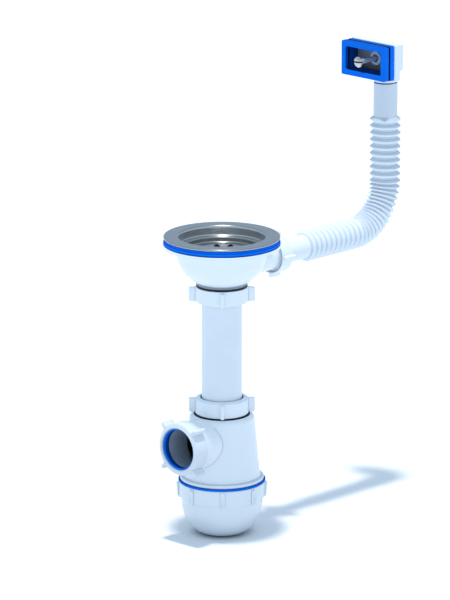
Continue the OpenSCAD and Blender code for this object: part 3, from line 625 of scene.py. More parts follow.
OUTLET_Z = middle("outlet_nut", Z)
SHOULDER_Z = OUTLET_Z + 24.6
FLANGE_Z = high("cup_seal", Z)
RING_UNDER = low("cup_seal", Z)
FLOOR_Z = low("bottle_cup", Z)
CUP_R = 40.4
CUP_RIM_R = 42.6
CUP_WALL = 2.3
CUP_SIDE_R = 43.5
CUP_FLOOR_ROUND = 22.6
CUFF_R = 12.1
CUFF_WALL = 1.6
# The brass inserts' outside, and the narrower bore past them
INSERT_R = 4.2
INSERT_BORE_R = 2.8

FLIPPED = Matrix.Scale(-1, 4, (0, 0, 1))


def toward_plus_x(z):
    """Places a shape drawn upward so that it leaves the drain along +X."""
    return shift(0, 0, z) @ Matrix.Rotation(pi / 2, 4, "Y")


def toward_minus_x(z):
    return shift(0, 0, z) @ Matrix.Rotation(-pi / 2, 4, "Y")


# Shared forms


# How far a wing's rim is drawn in at each distance back from its tip
WING_RIM = ((1.6, 0.0), (1.0, 0.08), (0.55, 0.28), (0.2, 0.62), (0.0, 1.25))


def wing(outer, tip, bottom, top, thickness):
    """One wing of a nut: a plate with a soft rim that stands straight out of the nut."""
    half_height = (top - bottom) / 2
    reach = tip - outer
    stations = [(outer + out, 0.0) for out in (-1.2, 0.0, 0.5, 1.1, 2.0, 0.5 * reach)]
    stations += [(tip - back, inset) for back, inset in WING_RIM]
    rings = []
    for radius, inset in stations:
        out = max(0.0, radius - outer)
        side = (thickness + WING_FLARE * (1 - out / reach)) / 2 - inset
        outline = rounded_box(side, half_height - inset, 1.3, 5)
        rings.append([(radius, y, (bottom + top) / 2 + z) for y, z in outline])
    return capped(rings)


def nut_shape(thread, hole, outer, height, tip, turn, thickness):
    """A union nut, its mouth at z = 0 and its shoulder's face at z = height."""
    bore = thread + 0.3
    inside = height - NUT_SHOULDER
    edge = sizes().edge_round / MM
    barrel = lathed([
        (bore, 0, 0.3), (outer, 0, 1.5 * edge), (outer, height - 1.5, 1.1),
        (hole + 1.3, height, 0.5), (hole, height - 0.9, 0.5), (hole, inside, 0.2),
        (bore, inside, 0.2)])
    wings = spread(lambda: wing(outer, tip, 0.7, height - 0.9, thickness), 4, turn)
    return joined([barrel, *wings])


def nut_paint(place, hole, outer, height, plain, edge, in_hole):
    """Painted shade in a nut's hole, its mouth, the bevel round its hole and the roots of its
    wings, and its edge finish on its two outer edges, a painted highlight on most nuts.
    """
    home = place.inverted()

    def paint(centre, normal):
        here = home @ centre
        reach = hypot(here.x, here.y)
        if reach < hole + 0.25:
            return in_hole
        if reach < outer - 1.2 and here.z < height - 2.2:
            return "shaded_collar"
        if reach < hole + 1.25 and here.z > height - 1.0:
            return "soft_shade"
        # the outer edge rounds take the edge finish: a painted highlight on all nuts but the
        # outlet's
        if outer - 1.0 < reach < outer + 0.1 and not 0.85 < here.z < height - 1.7:
            return edge
        at_wing_root = outer + 0.1 < reach < outer + 0.7 and 0.8 < here.z < height - 1.0
        return "soft_shade" if at_wing_root else plain

    return paint


def web(radius, centre_z, side, surface, reach, top):
    """A fillet between a branch along X and a turned body whose radius at z is surface(z)."""
    steps, strips = 128, 8
    sunk = 0.998
    rings = []
    for k in range(steps):
        a = 2 * pi * k / steps
        y = radius * cos(a)
        z = min(centre_z + radius * sin(a), top)
        crease = sqrt(max(surface(z) ** 2 - y * y, 1.0))
        grown = radius + reach * min(max((top - z) / 4, 0.15), 1.0)
        y2 = grown * cos(a)
        z2 = min(centre_z + grown * sin(a), top)
        foot = sqrt(max(surface(z2) ** 2 - y2 * y2, 1.0)) - 0.2
        branch = Vector((crease + reach, y * sunk, centre_z + (z - centre_z) * sunk))
        corner = Vector((crease, y, z))
        body = Vector((foot, y2, z2))
        ring = []
        for s in range(strips + 1):
            t = s / strips
            point = branch * (1 - t) ** 2 + corner * 2 * t * (1 - t) + body * t**2
            ring.append((side * point.x, point.y, point.z))
        rings.append(ring)
    shape = bmesh.new()
    add_rings(shape, rings, around=False, along=True)
    return shape


SEAL_FRONT = low("outlet_seal", X)
SEAL_BACK = high("outlet_seal", X)


def outlet_seal_shape():
    """Cone seal in the outlet nut: a chamfered lip at the mouth, and a slip ring behind it."""
    front, back = -SEAL_FRONT, -SEAL_BACK
    return lathed([
        (NECK_R - 0.3, front - 1.2, 0.2), (NECK_R - 0.3, front, 0.2), (20.75, front, 0.0),
        (20.7, front + 0.8, 0.2), (20.35, front + 0.9, 0.2), (19.35, front - 0.6, 0.3),
        (19.35, back - 0.2, 0.0), (19.4, back - 0.9, 0.1), (20.2, back - 0.9, 0.0),
        (21.0, back, 0.1)], 3)


def outlet_seal_paint(centre, normal):
    """The seal's bore is in shade behind the lip, and the white slip ring at its end has painted
    shade on its inner edge.
    """
    reach = hypot(centre.y, centre.z - OUTLET_Z)
    if reach < 19.6 and centre.x > SEAL_BACK + 0.15:
        return "soft_shade"
    return "shaded_rubber" if centre.x - SEAL_FRONT > 0.75 else "seal_rubber"


# The strainer and the bowl


RIM_R = width("strainer", X) / 2
SHEET_T = 0.9
MOUTH_R = 42.4
SUMP_R = 36.6
LEDGE_DROP = 10.2
FLOOR_DROP = 15.6
DIMPLE_DROP = 2.2
SCREW_HOLE_R = 2.6
HOLE_R = 2.9
HOLE_CIRCLE = 25.2
HOLE_ANGLES = [radians(25 + 30 * k) for k in range(12)]
HOLES = [(HOLE_CIRCLE * cos(a), HOLE_CIRCLE * sin(a)) for a in HOLE_ANGLES]


def strainer_shape():
    """Pressed strainer: a folded rim, a stepped wall, and a floor with holes."""
    top = high("strainer", Z)
    ledge = top - LEDGE_DROP
    floor = top - FLOOR_DROP
    dimple = floor - DIMPLE_DROP
    fold_r = RIM_R - 1.0
    upper = rounded([
        (fold_r, 0.0, 0.0), (RIM_R, 0.0, 0.4), (RIM_R, top, 0.9), (MOUTH_R, top, 2.6),
        (MOUTH_R, ledge, 1.4), (SUMP_R, ledge, 1.4), (SUMP_R, floor, 1.4), (28.3, floor, 2.4),
        (23.6, dimple, 1.2), (SCREW_HOLE_R, dimple, 0.0)], 7, closed=False)
    under = rounded([
        (SCREW_HOLE_R, dimple - SHEET_T, 0.0), (24.0, dimple - SHEET_T, 2.0),
        (28.6, floor - SHEET_T, 1.5), (SUMP_R + SHEET_T, floor - SHEET_T, 2.3),
        (SUMP_R + SHEET_T, ledge - SHEET_T, 0.5), (MOUTH_R + SHEET_T, ledge - SHEET_T, 2.3),
        (MOUTH_R + SHEET_T, top - SHEET_T, 1.7), (fold_r, top - SHEET_T, 0.2),
        (fold_r, 0.0, 0.0)], 6, closed=False)
    drills = [moved(plug(HOLE_R, -5.0, 4.0, 32), shift(x, y, floor)) for x, y in HOLES]
    return cut(turned(upper + under[:-1]), joined(drills))


def strainer_paint(centre, normal):
    """The holes are in shade, the rim's foot has a pale painted highlight, and the stepped wall is
    brighter with painted light.
    """
    near = min(hypot(centre.x - x, centre.y - y) for x, y in HOLES)
    if near < HOLE_R + 0.05 and centre.z < GASKET_TOP - 10 and abs(normal.z) < 0.5:
        return "gap_shade"
    reach = hypot(centre.x, centre.y)
    if 40.5 < reach < MOUTH_R + 0.4 and abs(normal.z) < 0.6:
        return "bright_wall"
    on_edge = reach > RIM_R - 0.6 and centre.z < 0.55 and abs(normal.z) < 0.5
    on_foot = reach > RIM_R - 1.2 and centre.z < 0.05
    return "sheet_edge" if on_edge or on_foot else "turned_sheet"


def bowl_radius(z):
    """Outer radius of the bowl at a height."""
    if z < FOOT_Z:
        return COLLAR_R
    return BOWL_R - ARC_R + sqrt(max(ARC_R**2 - (LIP_UNDER - z) ** 2, 0.0))


def bowl_outline():
    """Outside of the bowl, from its lip down to its neck and up the neck's bore."""
    side_top = LIP_UNDER - 2
    outline = rounded([
        (BOWL_R - BOWL_WALL, LIP_TOP, 0.0), (LIP_R, LIP_TOP, 0.9), (LIP_R, LIP_UNDER, 0.9),
        (BOWL_R + 0.6, LIP_UNDER, 0.8), (BOWL_R, side_top, 0.0)], 4, False)
    for k in range(1, 25):
        z = side_top + (FOOT_Z - side_top) * k / 24
        outline.append((bowl_radius(max(z, FOOT_Z)), z))
    outline += rounded([(FOOT_R, FOOT_Z, 0.0), (COLLAR_R, FOOT_Z - 0.2, 0.1),
                        (COLLAR_R, FOOT_Z - 0.6, 0.0)], 2, False)
    groove_r = COLLAR_R - 0.45
    for k in (1, 2, 3):
        z = FOOT_Z - COLLAR_H * k / 4
        outline += [(COLLAR_R, z + 0.22), (groove_r, z + 0.1), (groove_r, z - 0.1),
                    (COLLAR_R, z - 0.22)]
    return outline + rounded([
        (COLLAR_R, COLLAR_Z + 0.3, 0.0), (COLLAR_R, COLLAR_Z, 0.2), (NECK_R, COLLAR_Z, 0.1),
        (NECK_R, COLLAR_Z - NUT_GAP, 0.0), (NECK_R, NECK_END, 0.3), (SEAT_MOUTH_R, NECK_END, 0.1),
        (SEAT_FOOT_R, NECK_END + SEAT_DEPTH, 0.1), (BORE_R, NECK_END + SEAT_DEPTH, 0.1),
        (BORE_R, FOOT_Z + BOWL_WALL, 0.0)], 2, False)


def bowl_shape():
    """Bowl with its lip, round side, grooved collar, neck, branch and ribbed inner boss."""
    to_branch = toward_plus_x(BRANCH_Z)
    inside_foot = FOOT_Z + BOWL_WALL
    inner = []
    for k in range(21):
        z = inside_foot + (LIP_UNDER - inside_foot) * k / 20
        rise = sqrt((ARC_R - BOWL_WALL) ** 2 - (LIP_UNDER - z) ** 2)
        inner.append((BOWL_R - ARC_R + rise, z))
    stub = turned([
        (0.0, 22.0), (STUB_R, 22.0), (STUB_R, STUB_END - 11.0), (STUB_THREAD_R, STUB_END - 10.6),
        (STUB_THREAD_R, STUB_END), (0.0, STUB_END)], 96)
    hollow = turned([(0.0, FOOT_Z), *inner, (0.0, LIP_UNDER)])
    bore = moved(plug(STUB_BORE_R, 18.0, STUB_END + 1, 96), to_branch)
    pipe = cut(moved(stub, to_branch), hollow, bore)
    way_out = moved(plug(STUB_BORE_R, 28.0, 60.0, 96), to_branch)
    shell = cut(turned(bowl_outline() + inner), way_out)
    reach = sizes().web_round / MM * 0.75
    fillet = web(STUB_R, BRANCH_Z, 1, bowl_radius, reach, LIP_UNDER)
    top = low("bowl_insert", Z) + 9.3
    foot, insert_end, rib_z = top - 13, top - 9.6, top - 6.5
    boss = lathed([
        (INSERT_R, top, 0.2), (6.6, top, 0.5), (6.6, foot, 0.5), (INSERT_BORE_R, foot, 0.2),
        (INSERT_BORE_R, insert_end, 0.0), (INSERT_R, insert_end, 0.0)], 2, 64)

    def rib():
        outline = rounded_box(1.3, 6.4, 0.5, 2)
        return capped([
            [(min(out, bowl_radius(max(rib_z + z, FOOT_Z)) - 1.2), y, rib_z + z)
             for y, z in outline]
            for out in (6.0, 12.0, 18.0, 24.0, 30.0)])

    return joined([shell, pipe, fillet, boss, *spread(rib, 4, 45.0)])


def bowl_paint(centre, normal):
    """The grooved collar sits in the nut's shade, and its foot is darker still."""
    reach = hypot(centre.x, centre.y)
    if reach > COLLAR_R + 0.5 or centre.z > FOOT_Z - 0.3 or centre.z < COLLAR_Z - NUT_GAP:
        return "white_plastic"
    return "shaded_collar" if centre.z > COLLAR_Z + 1.0 else "gap_shade"


# The bright band of the gasket's side
BAND_FOOT = LIP_TOP + 1.5
BAND_TOP = LIP_TOP + 5.0


def gasket_shape():
    """Blue gasket under the strainer, with its lip at the foot."""
    side_r, lip_r, bore_r = 55.9, 57.7, 43.8
    return lathed([
        (45.9, GASKET_TOP, 0.4), (side_r, GASKET_TOP, 0.9), (side_r, BAND_TOP, 0.0),
        (side_r, LIP_TOP + 3.3, 0.7), (lip_r, LIP_TOP + 2.9, 0.8), (lip_r, BAND_FOOT, 0.0),
        (lip_r, LIP_TOP, 0.9), (bore_r, LIP_TOP, 0.4), (bore_r, GASKET_TOP - 2.6, 0.6)])


def gasket_paint(centre, normal):
    """The band under the flange is in its shade, and the lip's foot is darker still."""
    if centre.z < LIP_TOP + 0.3:
        return "shaded_rubber"
    return "seal_rubber" if BAND_FOOT < centre.z < BAND_TOP else "deep_rubber"


# The screws


SCREW_R = 2.5
SCREW_HEAD_R = width("overflow_screw", Y) / 2
SCREW_DOME = 1.2
SLOT_W = 1.7
THREAD_PITCH = 0.8
THREAD_DEPTH = 0.4


def screw_shape(length, turn):
    """A slotted screw: its head's rim at z = 0, its dome above, its shank and thread below."""
    dome_r = (SCREW_HEAD_R**2 + SCREW_DOME**2) / (2 * SCREW_DOME)
    root_r = SCREW_R - THREAD_DEPTH
    outline = []
    for k in range(11):
        reach = SCREW_HEAD_R * 0.97 * k / 10
        outline.append((reach, SCREW_DOME - dome_r + sqrt(dome_r**2 - reach**2)))
    outline += [(SCREW_HEAD_R, 0.0), (SCREW_HEAD_R, -0.25), (SCREW_R, -2.8),
                (SCREW_R, 13.0 - length)]
    for k in range(15):
        z = 12.8 - length - THREAD_PITCH * k
        outline += [(SCREW_R, z), (root_r, z - THREAD_PITCH / 2)]
    outline += [(root_r, 0.6 - length), (SCREW_R - 0.9, -length), (0.0, -length)]
    x, y = SCREW_HEAD_R + 1, SLOT_W / 2
    slot = capped([[(-x, -y, z), (x, -y, z), (x, y, z), (-x, y, z)] for z in (-0.4, 3.0)])
    return moved(cut(turned(outline, 48, closed=False), slot), spin(turn))


def screw_paint(place, turn):
    """The slot is in shade, and the shank is duller than the head."""
    home = (place @ spin(turn)).inverted()

    def paint(centre, normal):
        here = home @ centre
        if here.z < -0.5:
            return "dull_steel"
        in_slot = abs(here.y) < SLOT_W / 2 + 0.02 and abs(here.x) < SCREW_HEAD_R + 0.1
        return "gap_shade" if in_slot else "bright_steel"

    return paint


def add_screw(node, body, place, length, turn):
    """Makes the screw that stands for a node."""
    shape = moved(screw_shape(length, turn), place)
    piece(f"{node}_slotted", shape, body, node, screw_paint(place, turn))


# The bottle


SHOULDER_R = 32.1
SHOULDER_ROUND = 4.41
CONE_FOOT_R = 37.7
CONE_FOOT_Z = FLANGE_Z + 6.0
FLANGE_R = 41.6
THREAD_R = 39.4
THREAD_BORE_R = 37.0
BRANCH_R = 24.4
SHADE_SLEEVE_R = PIPE_R + 1.1
INSIDE_TOP = SHOULDER_Z - 2.4


def bottle_radius(z):
    """Outer radius of the bottle body at a height."""
    slope = (CONE_FOOT_R - SHOULDER_R) / (SHOULDER_Z - CONE_FOOT_Z)
    round_z = SHOULDER_Z - SHOULDER_ROUND
    if z < round_z + SHOULDER_ROUND * slope:
        return min(SHOULDER_R + slope * (SHOULDER_Z - z), CONE_FOOT_R)
    middle_r = SHOULDER_R + SHOULDER_ROUND * (slope - sqrt(1 + slope**2))
    return middle_r + sqrt(max(0.0, SHOULDER_ROUND**2 - (z - round_z) ** 2))


def bottle_shape():
    """Bottle body: neck, shoulder, cone, flange, cup thread, outlet branch, and an inner sleeve
    put in only to hold painted shade.
    """
    neck_end = high("bottle_body", Z)
    branch_end = -low("bottle_body", X)
    thread_end = low("bottle_body", Z)
    to_outlet = toward_minus_x(OUTLET_Z)
    outer = rounded([
        (SEAT_MOUTH_R, neck_end, 0.1), (NECK_R, neck_end, 0.4),
        (NECK_R, SHOULDER_Z + NUT_GAP, 0.0), (NECK_R, SHOULDER_Z, 0.3),
        (SHOULDER_R, SHOULDER_Z, 5.2), (CONE_FOOT_R, CONE_FOOT_Z, 4.0),
        (38.3, FLANGE_Z + 3.5, 1.0), (FLANGE_R, FLANGE_Z + 2.8, 1.1), (FLANGE_R, FLANGE_Z, 0.6),
        (THREAD_R, FLANGE_Z, 0.3), (THREAD_R, thread_end, 0.5),
        (THREAD_BORE_R, thread_end, 0.4)], 9, False)
    inner = rounded([
        (THREAD_BORE_R, thread_end, 0.0), (THREAD_BORE_R, FLANGE_Z, 1.0),
        (35.3, FLANGE_Z + 2.8, 1.0), (29.7, INSIDE_TOP - 3.0, 1.0), (27.0, INSIDE_TOP, 2.0),
        (BORE_R, INSIDE_TOP, 0.2), (BORE_R, neck_end - SEAT_DEPTH, 0.1),
        (SEAT_FOOT_R, neck_end - SEAT_DEPTH, 0.1), (SEAT_MOUTH_R, neck_end, 0.0)], 4, False)
    hollow = turned([(0.0, thread_end - 1), *inner[1:-4], (0.0, INSIDE_TOP)])
    step = branch_end - 29.8

    def outlet_way():
        return moved(turned([
            (0.0, 19.0), (PIPE_R - 1.9, 19.0), (PIPE_R - 1.9, step), (BORE_R, step),
            (BORE_R, branch_end - SEAT_DEPTH), (SEAT_FOOT_R, branch_end - SEAT_DEPTH),
            (SEAT_MOUTH_R, branch_end), (SEAT_MOUTH_R, branch_end + 1),
            (0.0, branch_end + 1)], 128), to_outlet)

    branch = turned([
        (0.0, 20.5), (BRANCH_R, 20.5), (BRANCH_R, branch_end - 13.6), (NECK_R, branch_end - 13.2),
        (NECK_R, branch_end), (0.0, branch_end)], 128)
    pipe = cut(moved(branch, to_outlet), hollow, outlet_way())
    shell = cut(turned(outer + inner[1:-1]), outlet_way())
    reach = sizes().web_round / MM
    fillet = web(BRANCH_R, OUTLET_Z, -1, bottle_radius, reach, SHOULDER_Z - 0.25)
    # the sleeve is no part of the real bottle: a black tube inside it, painted shade that keeps
    # the pipe dark through the outlet
    sleeve_bore, sleeve_top, sleeve_foot = PIPE_R + 0.25, SHOULDER_Z - 2.0, OUTLET_Z - 20.0
    sleeve = turned([(sleeve_bore, sleeve_top), (SHADE_SLEEVE_R, sleeve_top),
                     (SHADE_SLEEVE_R, sleeve_foot), (sleeve_bore, sleeve_foot)])
    return joined([shell, pipe, fillet, sleeve])


def bottle_paint(centre, normal):
    """The outlet's bore is in shade, and the bottle's inside, its sleeve and the nut's gap more
    so; the flange's top edge has a painted highlight, and the branch's crease and a band above the
    flange have painted shade.
    """
    rise = centre.z - OUTLET_Z
    from_outlet = hypot(centre.y, rise)
    faces_outlet = -(normal.y * centre.y + normal.z * rise) / max(from_outlet, 1.0) > 0.3
    if centre.x < -15 and from_outlet < PIPE_R + 1.2 and (faces_outlet or normal.x < -0.9):
        return "outlet_bore" if centre.x < -29.5 else "gap_shade"
    reach = hypot(centre.x, centre.y)
    faces_in = (normal.x * centre.x + normal.y * centre.y) / max(reach, 1.0) < -0.2
    side_r = bottle_radius(centre.z)
    below_top = centre.z < SHOULDER_Z - 2
    on_inside = below_top and (reach < SHADE_SLEEVE_R + 0.1 or faces_in and reach < side_r - 1.9)
    in_gap = SHOULDER_Z - 0.8 < centre.z < SHOULDER_Z + NUT_GAP and reach < NUT_R + 1.0
    if on_inside or in_gap:
        return "gap_shade"
    # a painted highlight on the flange's top edge
    if reach > FLANGE_R - 0.7:
        return "edge_plastic" if centre.z > FLANGE_Z + 0.5 else "white_plastic"
    # painted shade along the branch's crease and in a band above the flange
    on_web = centre.x < -20 and centre.z < SHOULDER_Z - 6 and reach > side_r + 0.12
    at_crease = on_web and BRANCH_R + 0.1 < from_outlet < BRANCH_R + 0.8
    at_flange = FLANGE_Z + 2.9 < centre.z < FLANGE_Z + 4.6
    return "faint_shade" if at_crease or at_flange else "white_plastic"


RIB_R = 45.2
RIB_HALF = 2.3
# A grip rib's sections: how far out each one is, and how much wider than the rib
RIB_FOOT = ((39.2, 1.0, 0.4), (42.0, 1.0, 0.0), (42.7, 0.55, 0.0), (43.3, 0.2, 0.0))
RIB_CREST = ((44.1, 0.0, 0.0), (44.7, 0.0, -0.2), (45.05, 0.0, -0.55), (RIB_R, 0.0, -1.1))


def grip_rib():
    """One upright rib of the cup, with round ends and a foot that runs out at its lower end."""
    flare = sizes().cup_rib_flare / MM
    top = RING_UNDER - 1.4
    rings = []
    for reach, flare_share, grow in RIB_FOOT + RIB_CREST:
        half = RIB_HALF + flare * flare_share + grow
        ring = []
        for end, first in ((top - RIB_HALF, 0), (top - 13.6, 180)):
            for y, z in arc_points(0.0, end, half, first, first + 180, 12):
                drop = max(0.0, (top - 12.2) - z)
                ring.append((min(reach, RIB_R - 0.75 * drop), y, z))
        rings.append(ring)
    return capped(rings)


def cup_shape():
    """Cup: threaded rim band, round bottom, and grip ribs with round ends."""
    skirt = RING_UNDER - 17.0
    side_z = skirt - 2.2
    floor_arc_z = FLOOR_Z + CUP_FLOOR_ROUND
    side_x = CUP_R - CUP_SIDE_R
    reach = CUP_SIDE_R - CUP_FLOOR_ROUND
    floor_x = side_x + sqrt(reach**2 - (floor_arc_z - side_z) ** 2)
    join = degrees(atan2(floor_arc_z - side_z, floor_x - side_x))

    def bottom(inset):
        side = arc_points(side_x, side_z, CUP_SIDE_R - inset, -3.0, join, 16)
        return side + arc_points(floor_x, floor_arc_z, CUP_FLOOR_ROUND - inset, join, -90, 18)[1:]

    outer = rounded([
        (39.9, RING_UNDER, 0.2), (CUP_RIM_R, RING_UNDER, 0.8), (CUP_RIM_R, skirt + 2.6, 3.4),
        (CUP_R, skirt - 1.8, 4.0), (*bottom(0)[0], 0.0)], 8, False)
    axis = [(0.0, FLOOR_Z), (0.0, FLOOR_Z + CUP_WALL)]
    up = [(CUP_R - CUP_WALL, skirt + CUP_WALL), (39.7, skirt + CUP_WALL)]
    wall = turned(outer[:-1] + bottom(0) + axis + bottom(CUP_WALL)[::-1] + up)
    return joined([wall, *spread(grip_rib, 8)])


def cup_paint(centre, normal):
    """The cup's rim has a painted highlight, and the foot of each grip rib has a line of painted
    shade.
    """
    reach = hypot(centre.x, centre.y)
    if reach > CUP_RIM_R - 1.0 and centre.z > RING_UNDER - 0.7:
        return "edge_plastic"
    turn = (atan2(centre.y, centre.x) + pi / 8) % (pi / 4) - pi / 8
    beside_rib = 1.7 < abs(reach * sin(turn)) < 3.4 and CUP_RIM_R + 0.02 < reach < 43.4
    return "soft_shade" if beside_rib else "white_plastic"


def cup_ring_shape():
    """Blue ring between the bottle and its cup."""
    bore_r, ring_r = 39.7, 43.3
    return lathed([(bore_r, RING_UNDER, 0.3), (ring_r, RING_UNDER, 0.9), (ring_r, FLANGE_Z, 0.9),
                   (bore_r, FLANGE_Z, 0.3)], 5)


def cup_ring_paint(centre, normal):
    """The ring has painted shade on its top and bottom edges."""
    return "deep_rubber" if abs(normal.z) > 0.55 else "seal_rubber"


# The overflow hose


FACE_X = low("overflow_gasket", X)
FACE_Y = middle("overflow_gasket", Y)
FACE_Z = middle("overflow_gasket", Z)
HEAD_X = FACE_X + 15.0
HOSE_CREST = 15.9
HOSE_ROOT = 12.35
LEVEL_CRESTS = 10
BEND_CRESTS = 14
UPRIGHT_CRESTS = 9
# Half the flat at a groove's foot, as a share of the way from crest to crest
FOOT_SHARE = 0.09


def hose_line(s, start, bend_start, bend):
    """Place and direction of the hose's centre line after s millimetres."""
    level = bend_start - start
    curve = bend * pi / 2
    if s < level:
        return Vector((start + s, 0, BRANCH_Z)), Vector((1, 0, 0))
    if s > level + curve:
        up = BRANCH_Z + bend + s - level - curve
        return Vector((bend_start + bend, 0, up)), Vector((0, 0, 1))
    a = (s - level) / bend
    place = Vector((bend_start + bend * sin(a), 0, BRANCH_Z + bend * (1 - cos(a))))
    return place, Vector((cos(a), 0, sin(a)))


def hose_outline(level, curve, end):
    """Outside of the hose as (way along it, radius), one wave for each crest."""
    pitch = sizes().hose_pitch / MM
    crest_round = sizes().crest_round / MM
    crests = [level - k * pitch for k in range(LEVEL_CRESTS, 0, -1)]
    crests += [level + curve * k / BEND_CRESTS for k in range(BEND_CRESTS + 1)]
    crests += [level + curve + k * pitch for k in range(1, UPRIGHT_CRESTS + 1)]
    ends = [crests[0] - pitch, *crests, crests[-1] + pitch]
    outline = [(0.0, CUFF_R - CUFF_WALL, 0.0), (0.0, CUFF_R, 0.4),
               (crests[0] - pitch / 2 - 0.3, CUFF_R, 0.3)]
    for before, place, after in zip(ends, crests, ends[2:]):
        step = curve / BEND_CRESTS if level <= place <= level + curve + 0.001 else pitch
        first = (before + place) / 2 + FOOT_SHARE * step
        last = (after + place) / 2 - FOOT_SHARE * step
        flanks = [[(foot + (place - foot) * t, HOSE_ROOT + (HOSE_CREST - HOSE_ROOT) * t, 0.0)
                   for t in shares] for foot, shares in ((first, (0.3, 0.7)), (last, (0.7, 0.3)))]
        outline += [(first, HOSE_ROOT, 0.4), *flanks[0], (place, HOSE_CREST, crest_round),
                    *flanks[1], (last, HOSE_ROOT, 0.4)]
    outline += [(crests[-1] + pitch / 2 + 0.3, CUFF_R, 0.3), (end, CUFF_R, 0.4),
                (end, CUFF_R - CUFF_WALL, 0.0)]
    return rounded(outline, 3, closed=False)


def hose_shape():
    """Hose: plain end, level run, bend, upright run and plain end, all from one wave."""
    bend = sizes().hose_bend / MM
    start = low("overflow_hose", X)
    bend_start = HEAD_X - bend
    level = bend_start - start
    curve = bend * pi / 2
    points = hose_outline(level, curve, level + curve + high("overflow_hose", Z) - BRANCH_Z - bend)
    bore = []
    for s, radius in reversed(points):
        if not bore or bore[-1][0] - s > 3.4:
            bore.append((s, CUFF_R - CUFF_WALL))
    steps = sizes().hose_steps
    angles = [2 * pi * k / steps for k in range(steps)]
    side = Vector((0, 1, 0))
    rings = []
    for s, radius in points + bore[1:-1]:
        place, ahead = hose_line(s, start, bend_start, bend)
        up = side.cross(ahead)
        rings.append([place + radius * (cos(a) * up + sin(a) * side) for a in angles])
    shape = bmesh.new()
    add_rings(shape, rings, along=True)
    return shape


def hose_paint(centre, normal):
    """The hose's grooves have painted shade, and so have the flanks that face up on the upright
    run and the upper part of the bend; the upright cuff and the topmost crest's upper flank have
    the head's painted shadow.
    """
    bend = sizes().hose_bend / MM
    along_x = centre.x - HEAD_X + bend
    above = centre.z - BRANCH_Z
    if along_x < 0:
        reach, upward = hypot(centre.y, above), 0.0
    elif above > bend:
        reach, upward = hypot(along_x - bend, centre.y), normal.z
    else:
        from_middle = hypot(along_x, above - bend)
        reach = hypot(from_middle - bend, centre.y)
        upward = (normal.x * (bend - above) + normal.z * along_x) / max(from_middle, 1.0)
    share = (reach - HOSE_ROOT) / (HOSE_CREST - HOSE_ROOT)
    # painted shadow of the head on the upright cuff
    if reach < CUFF_R + 0.1:
        return "hose_shade" if above > bend else "hose_plastic"
    # painted shadow of the head on the topmost crest's upper flank
    if above > bend + UPRIGHT_CRESTS * sizes().hose_pitch / MM + 0.3:
        return "hose_root"
    if upward > 0.15 and above > 0.4 * bend:
        if share < 0.25:
            return "hose_root"
        return "hose_flank" if share < 0.93 else "hose_plastic"
    return "hose_shade" if share < 0.3 else "hose_plastic"


# The overflow head


FRAME_W = width("overflow_gasket", Y)
FRAME_H = width("overflow_gasket", Z)
HOUSING_W = width("overflow_elbow", Y)
HOUSING_TOP = high("overflow_elbow", Z)
HOUSING_FOOT = high("overflow_hose", Z) + 1.0
SCREW_RING_R = 7.35
# Where the groove between the frame's two bands starts and ends, behind the face
GROOVE_START = 6.3
GROOVE_END = 9.3
# The frame's outside and its opening as (inset, depth behind the face, corner radius)
FRAME_SIDE = [(inset, depth, 1.4) for inset, depth in (
    (0.9, 0.0), (0.35, 0.15), (0.08, 0.5), (0.0, 0.9), (0.0, GROOVE_START), (0.15, 6.6),
    (1.35, 6.7), (1.35, 8.95), (0.2, 9.0), (0.0, GROOVE_END), (0.0, 14.6), (0.4, 15.0))]
FRAME_OPENING = [
    (5.1, 15.0, 2.6), (5.1, 17.8, 2.6), (5.5, 17.9, 2.5), (5.5, 6.7, 2.5), (5.3, 6.5, 2.6),
    (4.1, 6.4, 3.0), (4.1, 4.7, 3.0), (5.3, 4.6, 2.6), (5.5, 4.4, 2.5), (5.5, 0.7, 2.5),
    (5.2, 0.2, 2.8), (4.7, 0.0, 3.0)]
# The housing's tray, its outside and then its inside, in the same way
TRAY_OUTSIDE = [(inset, depth, 2.2) for inset, depth in (
    (5.0, 15.0), (1.8, 15.0), (0.9, 15.25), (0.3, 15.8), (0.0, 16.8), (0.0, 21.8), (0.15, 22.4),
    (0.55, 22.85), (1.3, 23.0))]
TRAY_INSIDE = [(inset, depth, 1.6) for inset, depth in (
    (5.0, 15.0), (5.0, 15.4), (5.2, 20.4), (5.6, 20.8))]


def box_rings(table, wide, tall, rise=0.0):
    """Rounded rectangles that face -X, one for each (inset, depth, corner radius)."""
    rings = []
    for inset, depth, radius in table:
        outline = rounded_box(wide / 2 - inset, tall / 2 - inset, radius, 5)
        rings.append([(FACE_X + depth, FACE_Y + y, FACE_Z + rise + z) for y, z in outline])
    return rings


def frame_shape():
    """Blue frame: two bands with a groove between them, and a stepped opening."""
    shape = bmesh.new()
    add_rings(shape, box_rings(FRAME_SIDE + FRAME_OPENING, FRAME_W, FRAME_H), along=True)
    return shape


def frame_paint(centre, normal):
    """The opening's wall is in shade, and the grooves more so; the frame's top has painted shade.
    """
    depth = centre.x - FACE_X
    side, rise = centre.y - FACE_Y, centre.z - FACE_Z
    outward = max(abs(side) / FRAME_W, abs(rise) / FRAME_H) * 2
    faces_in = normal.y * side + normal.z * rise < -2.0
    if GROOVE_START + 0.25 < depth < GROOVE_END - 0.25 and outward < 0.994:
        return "rubber_gap"
    # painted shade on the frame's top face
    if normal.z > 0.7 and outward > 0.97:
        return "deep_rubber"
    if 4.5 <= depth < 6.6 and (outward < 0.97 or faces_in):
        return "rubber_gap"
    if faces_in and depth > 0.9:
        return "deep_rubber" if depth < 4.5 else "shaded_rubber"
    return "seal_rubber"


